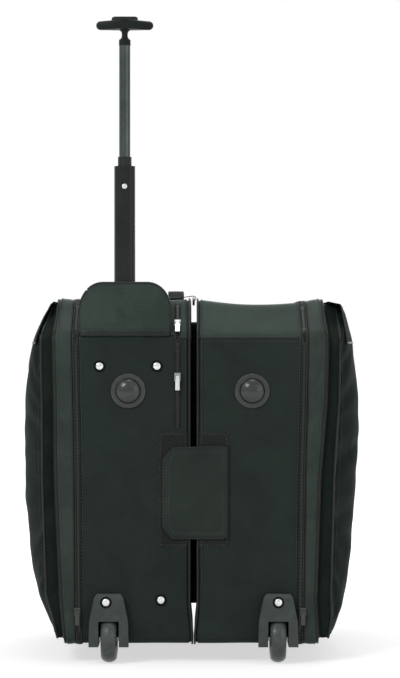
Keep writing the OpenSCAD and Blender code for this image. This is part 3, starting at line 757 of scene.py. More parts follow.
@dataclass(frozen=True)
class Outline:
    """The side view of a compartment, as distances behind the front panel and heights."""

    depth: float = 350 * MM
    base: float = 28 * MM
    top: float = 548 * MM
    shoulder: float = 493 * MM
    run: float = 50 * MM
    base_fold: float = 14 * MM
    rear_fold: float = 30 * MM
    shoulder_fold: float = 24 * MM

    @property
    def slope(self) -> float:
        """Angle of the shoulder above the level."""
        return math.atan2(self.top - self.shoulder, self.run)

    def loop(self, inset: float = 0.0, step: float = 6 * MM) -> Points:
        """Gives the outline drawn in by a margin.

        Args:
            inset: the margin.
            step: distance between two points.

        Returns:
            Rows of distance and height, once round.
        """
        i, s = inset, self.slope
        corners = [Vector(c) for c in (
            (i, self.base + i), (self.depth - i, self.base + i), (self.depth - i, self.top - i),
            ((i + (self.top - i - self.shoulder) * math.cos(s)) / math.sin(s), self.top - i),
            (i, self.shoulder - i * (1 - math.sin(s)) / math.cos(s)))]
        folds = [self.base_fold, self.base_fold, self.rear_fold, self.shoulder_fold, self.shoulder_fold]
        points: list[tuple[float, float]] = []
        for k, corner in enumerate(corners):
            points += arc(corner, corners[k - 1], corners[(k + 1) % 5], max(folds[k] - i, 2 * MM))
        return spaced(np.array(points), step, closed=True)

    @property
    def middle(self) -> Points:
        """The middle of the outline, as distance and height."""
        return np.array([self.depth / 2, (self.base + self.top) / 2])

    def ends(self, loop: Points, heights: Points) -> list[Points]:
        """Gives where a loop starts and ends at each height, as distances behind the front panel."""
        found = []
        for half in (loop[loop[:, 0] < self.depth / 2], loop[loop[:, 0] >= self.depth / 2]):
            order = np.argsort(half[:, 1])
            found.append(np.interp(heights, half[order, 1], half[order, 0]))
        return found

    def outward(self, loop: Points) -> Points:
        """Gives the direction out of the case at each point of a loop that runs base, rear, top."""
        ahead = headings(loop, True)
        return np.stack([ahead[:, 1], -ahead[:, 0]], axis=1)


@dataclass(frozen=True)
class Slump:
    """How far filled cloth leaves its flat pattern on one side of the case.

    Each list goes with the heights: how far the panel's edge and the lid's edge lean outward
    there. The bag is fullest above and draws in towards the floor.
    """

    heights: tuple[float, ...]
    panel: tuple[float, ...]
    lid: tuple[float, ...]
    sag: float
    full_at: tuple[float, ...]
    full: tuple[float, ...]


@dataclass
class CaseFrame:
    """Where the compartments stand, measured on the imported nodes, and how their cloth slumps."""

    outline: Outline = field(default_factory=Outline)
    slumps: dict[Side, Slump] = field(default_factory=lambda: {
        Side.LEFT: Slump((30 * MM, 95 * MM, 275 * MM, 395 * MM, 485 * MM, 548 * MM),
                         (-3 * MM, -2 * MM, -1 * MM, 1 * MM, 3 * MM, 2 * MM),
                         (-11 * MM, -5 * MM, 3 * MM, 4 * MM, 6 * MM, 2 * MM), 2.5 * MM,
                         (37 * MM, 70 * MM, 115 * MM, 160 * MM, 245 * MM, 345 * MM, 400 * MM, 445 * MM,
                          485 * MM, 520 * MM, 541 * MM),
                         (0.33, 0.46, 0.78, 0.95, 1.1, 1.11, 1.09, 0.98, 0.74, 0.42, 0.16)),
        Side.RIGHT: Slump((30 * MM, 95 * MM, 275 * MM, 395 * MM, 485 * MM, 548 * MM),
                          (-5 * MM, -4 * MM, -2 * MM, 1 * MM, 2.4 * MM, 1 * MM),
                          (-7 * MM, -11 * MM, -5 * MM, 5 * MM, 7 * MM, 2 * MM), 8 * MM,
                          (37 * MM, 55 * MM, 105 * MM, 160 * MM, 215 * MM, 275 * MM, 345 * MM, 420 * MM,
                           455 * MM, 480 * MM, 515 * MM, 541 * MM),
                          (0.45, 0.55, 0.82, 0.93, 0.99, 1.08, 1.13, 1.03, 0.92, 0.84, 0.68, 0.58))})

    def __post_init__(self) -> None:
        """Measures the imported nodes."""
        left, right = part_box("left_inner_wall"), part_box("right_inner_wall")
        self.gap_x = (left[1][0] + right[0][0]) / 2
        self.inner = right[0][0] - self.gap_x
        self.front_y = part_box("right_front_panel")[0][1]
        self.rear_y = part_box("right_rear_panel")[1][1]
        self.edges = {Side.LEFT: self.gap_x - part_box("left_front_panel")[0][0],
                      Side.RIGHT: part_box("right_front_panel")[1][0] - self.gap_x}
        self.lids = {Side.LEFT: self.gap_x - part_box("left_lid")[0][0],
                     Side.RIGHT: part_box("right_lid")[1][0] - self.gap_x}
        self.reach = {Side.LEFT: self.gap_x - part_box("left_pocket")[0][0],
                      Side.RIGHT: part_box("right_pocket")[1][0] - self.gap_x}

    def at(self, side: Side, x: Points | float, y: Points | float, z: Points | float) -> Points:
        """Places points of one side's cloth, with its slump.

        Args:
            side: which compartment.
            x: distances from the gap's middle.
            y: distances behind the front panel.
            z: heights.

        Returns:
            Rows of x, y and z in the shared frame.
        """
        x, y, z = np.broadcast_arrays(*(np.asarray(v, dtype=float) for v in (x, y, z)))
        slump, edge, lid = self.slumps[side], self.edges[side], self.lids[side]
        panel = np.interp(z, slump.heights, slump.panel)
        outer = np.interp(z, slump.heights, slump.lid)
        lean = panel * ease(x, 0.4 * edge, edge) + (outer - panel) * ease(x, edge, lid)
        lean = lean - outer * 0.7 * ease(x, lid, self.reach[side])
        span = np.clip((x - self.inner) / (lid - self.inner), 0, 1)
        lean = lean - 4.3 * MM * (1 - ease(z, 38 * MM, 95 * MM)) * (1 - ease(x, self.inner, 0.3 * edge)) * (
            1 - ease(y, 0.1, 0.25))
        sag = slump.sag * np.sin(math.pi * span) * ease(z, self.outline.shoulder - 10 * MM, self.outline.top)
        return np.stack([self.gap_x + side.value * (x + lean), self.front_y + y, z - sag], axis=-1)

    def out(self, side: Side, direction: Points) -> Points:
        """Turns directions drawn for one side into the shared frame."""
        return np.asarray(direction, dtype=float) * np.array([side.value, 1.0, 1.0])


@dataclass
class Shell:
    """A soft box open on one side: a band round an outline and one panel, with its lining.

    open_x and closed_x are the distances of its two ends from the gap. The panel closes the
    box at closed_x.
    """

    case: CaseFrame
    side: Side
    open_x: float
    closed_x: float
    wall: float = 4 * MM
    stations: int = 26
    rings: int = 12
    crown: float = 0.0
    edge_fold: float = 3 * MM
    seed: int = 3

    def skin(self, inset: float) -> tuple[Points, Points]:
        """Builds the points of one skin of the box.

        Args:
            inset: how far the skin lies inside the outer face.

        Returns:
            The band's rings from the open end to the closed end, and the panel's rings
            from its edge to its middle. Each is ring by point by axis.
        """
        loop = self.case.outline.loop()
        normal = self.case.outline.outward(loop)
        way = 1.0 if self.closed_x > self.open_x else -1.0
        closed = self.closed_x - way * inset
        along = np.linspace(0, 1, self.stations)
        xs = self.open_x + (closed - self.open_x) * along
        fold = max(self.edge_fold - inset, 0.5 * MM)
        draw = np.where(np.abs(closed - xs) < fold,
                        fold - np.sqrt(np.maximum(fold**2 - (fold - np.abs(closed - xs)) ** 2, 0)), 0)
        band = []
        for x, pull, t in zip(xs, draw, along):
            puff = self.crown * math.sin(math.pi * t) if self.crown else 0.0
            wave = self.creases(x, loop) if inset == 0 else np.zeros(len(loop))
            yz = loop + normal * (puff - inset - pull - wave)[:, None]
            band.append(self.case.at(self.side, x, yz[:, 0], yz[:, 1]))
        middle = self.case.outline.middle
        edge = loop - normal * (inset + draw[-1])
        panel = []
        for k in range(1, self.rings + 1):
            yz = middle + (edge - middle) * (1 - k / self.rings)
            panel.append(self.case.at(self.side, closed, yz[:, 0], yz[:, 1]))
        return np.array(band), np.array(panel)

    def creases(self, x: float, loop: Points) -> Points:
        """Gives how far the cloth dips at one station, which is never outward of its pattern."""
        run = np.arange(len(loop)) * 6 * MM
        broad = ripple(np.full(len(loop), x), run, 95 * MM, self.seed)
        fine = ripple(np.full(len(loop), x) * 0.5, run, 38 * MM, self.seed + 1)
        return 0.9 * MM * (broad + 1) / 2 + 0.35 * MM * (fine + 1) / 2

    def build(self, name: str, shades: Sequence[Shade], pick: Callable[[Points], int]) -> bpy.types.Object:
        """Makes the closed mesh of both skins.

        Args:
            name: the piece's name.
            shades: its materials, the lining last.
            pick: gives the number of the material for the middle of an outer face.

        Returns:
            The new piece.
        """
        points, faces, which = [], [], []
        starts = []
        for inset in (0.0, self.wall):
            band, panel = self.skin(inset)
            start = sum(len(p) for p in points)
            count = band.shape[1]
            rows = np.concatenate([band, panel[:-1]])
            points += [rows.reshape(-1, 3), panel[-1][:1]]
            new = grid_faces(len(rows), count, closed=True, start=start)
            tip = start + len(rows) * count
            last = start + (len(rows) - 1) * count
            new += [[last + c, last + (c + 1) % count, tip] for c in range(count)]
            faces += new
            starts.append((start, len(new), count))
        whole = np.concatenate(points)
        for k, face in enumerate(faces):
            outer = k < starts[0][1]
            which.append(pick(whole[face].mean(axis=0)) if outer else len(shades) - 1)
        count = starts[0][2]
        for c in range(count):
            d = (c + 1) % count
            faces.append([c, d, starts[1][0] + d, starts[1][0] + c])
            which.append(0)
        return new_piece(name, whole, faces, shades, which)


def cut_out(piece: bpy.types.Object, boxes: Sequence[tuple[Sequence[float], Sequence[float]]]) -> None:
    """Cuts block-shaped openings in a piece.

    Args:
        piece: the closed piece to cut.
        boxes: the lowest and highest corner of each opening.
    """
    for low, high in boxes:
        corners = [(x, y, z) for x in (low[0], high[0]) for y in (low[1], high[1])
                   for z in (low[2], high[2])]
        tool = new_piece("cutting tool", np.array(corners), [
            (0, 1, 3, 2), (4, 6, 7, 5), (0, 4, 5, 1), (2, 3, 7, 6), (0, 2, 6, 4), (1, 5, 7, 3)],
            [], smooth=False)
        cut = piece.modifiers.new("Opening", "BOOLEAN")
        cut.object, cut.operation, cut.solver = tool, "DIFFERENCE", "EXACT"
        apply_all(piece)
        bpy.data.objects.remove(tool)


# ---- compartments ----


@dataclass
class Compartment:
    """One tall compartment: its cloth shell with piping and stitching along its seams."""

    case: CaseFrame
    side: Side
    finish: Finishes
    piping: float = 1.7 * MM
    seam_in: float = 7 * MM
    shoulder_seam: float = 489 * MM
    hood_edge: float = 33 * MM
    well_depth: float = 58.5 * MM

    @property
    def body(self) -> str:
        """The body that the compartment is."""
        return f"{self.side.word}_case"

    def openings(self) -> list[tuple[Sequence[float], Sequence[float]]]:
        """Gives the openings for the wheel's housing and, on the left, for the pole's well.

        Returns:
            The lowest and highest corner of each.
        """
        low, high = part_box(f"{self.side.word}_wheel_housing")
        slack, leg, front = 0.4 * MM, 9 * MM, self.case.front_y
        boxes = [((low[0] + leg, front - 20 * MM, 0.0),
                  (high[0] - leg, front + self.well_depth, high[2] - 22 * MM))]
        if self.side is Side.LEFT:
            low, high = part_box("pole_well")
            boxes.append(((low[0] - slack, low[1] - slack, self.case.outline.shoulder - 6 * MM),
                          (high[0] + slack, high[1] + slack, self.case.outline.top + 20 * MM)))
        return boxes

    def shell(self) -> bpy.types.Object:
        """Builds the cloth walls as one shell with its lining."""
        edge = self.case.edges[self.side]
        shell = Shell(self.case, self.side, open_x=edge, closed_x=self.case.inner, edge_fold=4 * MM,
                      seed=11 if self.side is Side.LEFT else 29)

        def pick(middle: Points) -> int:
            """Chooses the paler copy of the padded cloth, painted lighter for the light from above, for the
            shoulder and top, plain cloth elsewhere.
            """
            return 1 if middle[2] > self.shoulder_seam else 0

        piece = shell.build(f"{self.side.word}_case_cloth",
                            [self.finish["panel"], self.finish["padded"], self.finish["lining"]], pick)
        cut_out(piece, self.openings())
        word = self.side.word
        return keep(piece, self.body, [f"{word}_front_panel", f"{word}_top_cover",
                    f"{word}_bottom_panel", f"{word}_rear_panel", f"{word}_inner_wall"])

    def edge_piping(self) -> bpy.types.Object:
        """Runs a piped edge round the wall beside the gap and round the mouth of the lid."""
        cords = []
        for k, x in enumerate((self.case.inner + 1.2 * MM, self.case.edges[self.side] - 0.6 * MM)):
            loop = self.case.outline.loop(0.2 * MM if k == 0 else -0.1 * MM)
            path = self.case.at(self.side, x, loop[:, 0], loop[:, 1])
            cords.append(rope(f"{self.side.word}_edge_piping_{k}", path, self.piping if k == 0 else 1.1 * MM,
                              self.finish["piping"], closed=True))
        return keep(joined(f"{self.side.word}_edge_piping", cords), self.body)

    def seam_thread(self) -> bpy.types.Object:
        """Sews the rows of stitches beside the piping and along the fold of the shoulder."""
        outline = self.case.outline
        rows = []
        for k, x in enumerate((self.case.inner + self.seam_in, self.case.edges[self.side] - 11.5 * MM)):
            loop = outline.loop(-0.1 * MM)
            out2 = outline.outward(loop)
            sewn = (loop[:, 1] > 110 * MM) | (loop[:, 0] > 70 * MM)
            path = self.case.at(self.side, x, loop[:, 0], loop[:, 1])
            out = self.case.out(self.side, np.stack([np.zeros(len(loop)), out2[:, 0], out2[:, 1]], axis=1))
            turns = np.where(np.diff(sewn.astype(int)))[0] + 1
            for n, part in enumerate(np.split(np.arange(len(loop)), turns)):
                if sewn[part[0]] and len(part) > 3:
                    rows.append(stitches(f"row_{k}_{n}", path[part], out[part], self.finish["thread"]))
        xs = np.arange(self.case.inner + 8 * MM, self.case.edges[self.side] - 12 * MM, 4 * MM)
        if self.side is Side.LEFT:
            xs = xs[xs < self.hood_edge]
        path = self.case.at(self.side, xs, -0.1 * MM, self.shoulder_seam - 6 * MM)
        rows.append(stitches("shoulder_row", path, np.tile([[0, -1.0, 0]], (len(xs), 1)),
                             self.finish["thread"]))
        return keep(joined(f"{self.side.word}_seam_thread", rows), self.body)

    def shoulder_cord(self) -> bpy.types.Object:
        """Lays the fine piping where the front panel folds into the shoulder."""
        start = self.case.inner + 3 * MM
        stop = self.case.edges[self.side] - 10 * MM
        if self.side is Side.LEFT:
            stop = self.hood_edge
        xs = np.arange(start, stop, 4 * MM)
        path = self.case.at(self.side, xs, 0.1 * MM, self.shoulder_seam)
        return keep(rope(f"{self.side.word}_shoulder_piping", path, 1.1 * MM, self.finish["piping"]),
                    self.body)

    def rear_band(self) -> bpy.types.Object:
        """Lays a woven wear strip low across the rear, with its rows of stitches."""
        xs = np.linspace(self.case.inner + 6 * MM, self.case.edges[self.side] - 4 * MM, 24)
        depth = self.case.outline.depth
        parts = []
        for n, z in enumerate((70 * MM, 470 * MM)):
            path = self.case.at(self.side, xs, depth - 0.4 * MM, z)
            up = np.tile([[0, 1.0, 0]], (len(xs), 1))
            points, faces = sweep(path, up, strap_profile(25 * MM, 1.3 * MM), False)
            parts.append(new_piece(f"band_{n}", points, faces, [self.finish["webbing"]]))
            for edge in (-9 * MM, 9 * MM):
                row = self.case.at(self.side, xs, depth + 1.0 * MM, z + edge)
                parts.append(stitches(f"band_row_{n}_{edge:.3f}", row, up, self.finish["thread"]))
        return keep(joined(f"{self.side.word}_rear_bands", parts), self.body)

    def build(self) -> None:
        """Builds the whole compartment."""
        self.shell()
        self.edge_piping()
        self.seam_thread()
        self.shoulder_cord()
        self.rear_band()


# ---- lids and pockets ----


@dataclass
class Lid:
    """A padded lid on the outer side of a compartment, hinged at the rear by its cloth."""

    case: CaseFrame
    side: Side
    finish: Finishes
    gap: float = 0.6 * MM
    hinge_span: tuple[float, float] = (90 * MM, 470 * MM)

    @property
    def body(self) -> str:
        """The body that the lid is."""
        return f"{self.side.word}_lid"

    def tray(self) -> bpy.types.Object:
        """Builds the lid's padded band and outer panel with the lining."""
        edge, lid = self.case.edges[self.side], self.case.lids[self.side]
        shell = Shell(self.case, self.side, open_x=edge + self.gap, closed_x=lid, stations=16,
                      crown=1.4 * MM, edge_fold=6 * MM, seed=47 if self.side is Side.LEFT else 61)
        piece = shell.build(f"{self.side.word}_lid_cloth", [self.finish["gusset"], self.finish["lining"]],
                            lambda middle: 0)
        return keep(piece, self.body, [f"{self.side.word}_lid"])

    def piping(self) -> bpy.types.Object:
        """Runs piping round the lid's outer edge and a finer one along its zipper."""
        edge, lid = self.case.edges[self.side], self.case.lids[self.side]
        cords = []
        for k, (x, inset, radius) in enumerate(((lid - 1.5 * MM, 1.6 * MM, 1.9 * MM),
                                                (edge + 2.2 * MM, 0.4 * MM, 1.0 * MM))):
            loop = self.case.outline.loop(inset)
            path = self.case.at(self.side, x, loop[:, 0], loop[:, 1])
            cords.append(rope(f"cord_{k}", path, radius, self.finish["piping"], closed=True))
        return keep(joined(f"{self.side.word}_lid_piping", cords), self.body)

    def thread(self) -> bpy.types.Object:
        """Sews a row of stitches beside the lid's outer piping."""
        loop = self.case.outline.loop(-1.0 * MM)
        out2 = self.case.outline.outward(loop)
        path = self.case.at(self.side, self.case.lids[self.side] - 6.5 * MM, loop[:, 0], loop[:, 1])
        out = np.stack([np.zeros(len(loop)), out2[:, 0], out2[:, 1]], axis=1)
        return keep(stitches(f"{self.side.word}_lid_thread", path, out, self.finish["thread"]),
                    self.body)

    def hinge(self) -> bpy.types.Object:
        """Builds the strip of cloth at the rear that the lid swings on."""
        edge, depth = self.case.edges[self.side], self.case.outline.depth
        low, high = self.hinge_span
        across = np.linspace(-9 * MM, 10 * MM, 9)
        gx, gz = np.meshgrid(edge + self.gap / 2 + across, np.linspace(low, high, 40))
        inner, outer = (self.case.at(self.side, gx, depth + skin, gz) for skin in (0.5 * MM, 1.3 * MM))
        piece = slab(f"{self.side.word}_lid_hinge", inner, outer, [self.finish["panel"]])
        middle = inner[0, len(across) // 2]
        reach = 2.5 * MM * self.side.value
        start, end = ((middle[0] + way * reach, middle[1], middle[2]) for way in (-1, 1))
        self.body
        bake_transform(piece)
        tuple(start)
        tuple(end)
        return piece

    def build(self) -> None:
        """Builds the whole lid."""
        self.tray()
        self.piping()
        self.thread()
        self.hinge()


@dataclass
class Pocket:
    """A full outer pocket: a gusset strip and a crowned, creased face blown out by cloth dynamics."""

    case: CaseFrame
    side: Side
    finish: Finishes
    margin: float = 9 * MM
    gusset: float = 20 * MM
    start_share: float = 0.86
    growth: float = 0.034
    pressure: float = 3.4
    cap: float = 8 * MM
    rows: int = 74
    columns: int = 50
    flap_foot: float = 481 * MM
    seed: int = 5

    def spans(self) -> tuple[Points, Points, Points]:
        """Gives the heights of the face's rows and where each row starts and ends.

        Returns:
            Heights, and the least and greatest distance behind the front panel.
        """
        loop = self.case.outline.loop(self.margin, step=1.5 * MM)
        low, high = loop[:, 1].min(), loop[:, 1].max()
        t = (1 - np.cos(np.linspace(0.035, 1 - 0.035, self.rows) * math.pi)) / 2
        t = 0.55 * np.linspace(0.0015, 0.9985, self.rows) + 0.45 * t
        zs = low + (high - low) * (t - t[0]) / (t[-1] - t[0]) * 0.9992 + (high - low) * 0.0004
        near, far = self.case.outline.ends(loop, zs)
        return zs, near, far

    def reach(self, z: Points) -> Points:
        """Gives how far the pocket reaches out of its lid at a height, gusset and crown together."""
        slump = self.case.slumps[self.side]
        share = np.interp(z, slump.full_at, slump.full)
        return (self.case.reach[self.side] - self.case.lids[self.side]) * share

    def foot(self, z: Points) -> Points:
        """Gives the width of the gusset at a height, narrower where the pocket is slack."""
        return self.gusset * np.clip(self.reach(z) / (1.7 * self.gusset), 0.2, 1)

    def crown(self, y: Points, z: Points) -> Points:
        """Gives how far the face stands out beyond its gusset, flat in its middle and round at its ends."""
        half = self.case.outline.depth / 2 - self.margin
        deep = 1 - np.clip(np.abs(y - self.case.outline.depth / 2) / half, 0, 1) ** 3.4
        return np.maximum((self.reach(z) - self.foot(z)) * deep, 0)

    def build(self) -> bpy.types.Object:
        """Builds, blows out and finishes the pocket.

        Returns:
            The pocket's cloth.
        """
        zs, near, far = self.spans()
        base_x = self.case.lids[self.side]
        u = np.linspace(0, 1, self.columns)
        y = near[:, None] + (far - near)[:, None] * u[None, :]
        z = np.repeat(zs[:, None], self.columns, axis=1)
        crease = ripple(y * 0.7 + z * 0.4, z, 60 * MM, self.seed + (0 if self.side is Side.LEFT else 9))
        fade = ease(self.crown(y, z), 0, 6 * MM)
        x = base_x + self.foot(z) + self.crown(y, z) * self.start_share + crease * 1.6 * MM * fade
        face = self.case.at(self.side, x, y, z)
        rim = grid_rim(self.rows, self.columns)
        edge_y, edge_z = np.array([y[r, c] for r, c in rim]), np.array([z[r, c] for r, c in rim])
        steps = 4
        points, faces = [face.reshape(-1, 3)], grid_faces(self.rows, self.columns)
        inner = [r * self.columns + c for r, c in rim]
        start = self.rows * self.columns
        for k in range(1, steps + 1):
            x = base_x + self.foot(edge_z) * (1 - k / steps) - (0.8 * MM if k == steps else 0)
            puff = 1.2 * MM * math.sin(math.pi * k / steps)
            away = np.stack([edge_y, edge_z], axis=1) - self.case.outline.middle
            away = away / np.linalg.norm(away, axis=1, keepdims=True)
            points.append(self.case.at(self.side, x, edge_y + away[:, 0] * puff, edge_z + away[:, 1] * puff))
            outer = [start + (k - 1) * len(rim) + n for n in range(len(rim))]
            for n in range(len(rim)):
                m = (n + 1) % len(rim)
                faces.append([inner[n], inner[m], outer[m], outer[n]])
            inner = outer
        piece = new_piece(f"{self.side.word}_pocket_cloth", np.concatenate(points), faces,
                          [self.finish["pocket"], self.finish["lining"]])
        held = [r * self.columns + c for r, c in rim] + list(range(start, start + steps * len(rim)))
        blow_out(piece, held, self.pressure, self.growth, self.cap)
        thick = piece.modifiers.new("Lining", "SOLIDIFY")
        thick.thickness, thick.offset, thick.material_offset = 1.6 * MM, -1, 1
        finer = piece.modifiers.new("Smooth cloth", "SUBSURF")
        finer.levels = finer.render_levels = 1
        keep(piece, f"{self.side.word}_lid", [f"{self.side.word}_pocket"])
        self.trim(edge_y, edge_z)
        self.rain_flap()
        return piece

    def rain_flap(self) -> bpy.types.Object:
        """Drapes the cloth flap that covers the pocket's mouth, bound along its lower edge."""
        depth, top = self.case.outline.depth, self.case.outline.top
        ys = np.linspace(26 * MM, depth - 30 * MM, 46)
        drop = np.concatenate([[top - 4.5 * MM], np.linspace(top - 8 * MM, self.flap_foot, 14)])
        gy, gz = np.meshgrid(ys, drop)
        lift = (self.foot(gz) + self.crown(gy, gz)) * ease(top - gz, 3 * MM, 9 * MM)
        flare = 2.5 * MM + 3.0 * MM * ease(top - gz, 20 * MM, top - self.flap_foot)
        wave = ripple(gy, gz, 70 * MM, self.seed + 21) * 1.2 * MM
        x = self.case.lids[self.side] + lift + flare + wave
        outer = self.case.at(self.side, x, gy, gz)
        inner = self.case.at(self.side, x - 1.4 * MM, gy, gz - 0.3 * MM)
        piece = slab(f"{self.side.word}_rain_flap", outer, inner, [self.finish["pocket"]])
        keep(piece, f"{self.side.word}_lid")
        keep(rope(f"{self.side.word}_rain_flap_binding", outer[-1], 1.6 * MM, self.finish["piping"]),
             f"{self.side.word}_lid")
        out = np.tile([[self.side.value * 1.0, 0, 0]], (len(ys), 1))
        keep(stitches(f"{self.side.word}_rain_flap_thread", outer[-2] + out * 0.3 * MM, out,
                      self.finish["thread"]), f"{self.side.word}_lid")
        return piece

    def trim(self, edge_y: Points, edge_z: Points) -> None:
        """Adds the piping round the face and round the foot of the gusset, with its stitches.

        Args:
            edge_y: distances behind the front panel of the face's edge.
            edge_z: heights of the face's edge.
        """
        loop = spaced(np.stack([edge_y, edge_z], axis=1), 6 * MM, closed=True)
        base_x = self.case.lids[self.side]
        cords = []
        lift = self.foot(loop[:, 1])
        for k, (x, radius) in enumerate(((base_x + lift, 1.9 * MM), (base_x + 1.0 * MM, 1.5 * MM))):
            cords.append(rope(f"cord_{k}", self.case.at(self.side, x, loop[:, 0], loop[:, 1]), radius,
                              self.finish["piping"], closed=True))
        keep(joined(f"{self.side.word}_pocket_piping", cords), f"{self.side.word}_lid")
        inward = self.case.outline.middle - loop
        inward = inward / np.linalg.norm(inward, axis=1, keepdims=True)
        row = loop + inward * 9 * MM
        lift = self.foot(row[:, 1]) + self.crown(row[:, 0], row[:, 1]) * self.start_share
        path = self.case.at(self.side, base_x + lift + 1.4 * MM, row[:, 0], row[:, 1])
        out = np.tile([[self.side.value * 1.0, 0, 0]], (len(row), 1))
        keep(stitches(f"{self.side.word}_pocket_thread", path, out, self.finish["thread"]),
             f"{self.side.word}_lid")


def blow_out(piece: bpy.types.Object, held: Sequence[int], pressure: float, growth: float,
             cap: float) -> None:
    """Lets air pressure fill a piece by cloth dynamics, and keeps the result.

    Args:
        piece: the piece, whose mesh is changed.
        held: the corners that stay where they are sewn.
        pressure: the pressure inside.
        growth: how much larger the cloth is than its pattern, which gives creases.
        cap: the furthest that a corner may move.
    """
    scene = bpy.context.scene
    sewn = piece.vertex_groups.new(name="sewn")
    sewn.add(list(held), 1.0, "REPLACE")
    cloth = piece.modifiers.new("Cloth", "CLOTH")
    settings = cloth.settings
    settings.quality, settings.mass, settings.time_scale = 7, 0.25, 1.0
    settings.tension_stiffness = settings.compression_stiffness = 18
    settings.shear_stiffness, settings.bending_stiffness = 8, 1.2
    settings.use_pressure, settings.uniform_pressure_force = True, pressure
    settings.shrink_min, settings.vertex_group_mass = -growth, "sewn"
    settings.effector_weights.gravity = 0
    cloth.collision_settings.use_collision = False
    frames = 20
    cloth.point_cache.frame_start, cloth.point_cache.frame_end = 1, frames
    for number in range(1, frames + 1):
        scene.frame_set(number)
    shown = piece.evaluated_get(bpy.context.evaluated_depsgraph_get()).to_mesh()
    count = len(piece.data.vertices)
    new, old = np.empty(count * 3), np.empty(count * 3)
    shown.vertices.foreach_get("co", new)
    piece.data.vertices.foreach_get("co", old)
    move = (new - old).reshape(-1, 3)
    far = np.linalg.norm(move, axis=1, keepdims=True)
    move = move * (cap * np.tanh(far / cap) / np.maximum(far, 1e-9))
    piece.modifiers.remove(cloth)
    piece.data.vertices.foreach_set("co", (old.reshape(-1, 3) + move).ravel())
    piece.data.update()
    scene.frame_set(1)
    LOG.info("%s moved up to %.1f mm under pressure", piece.name, float(far.max()) / MM)


# ---- hood ----


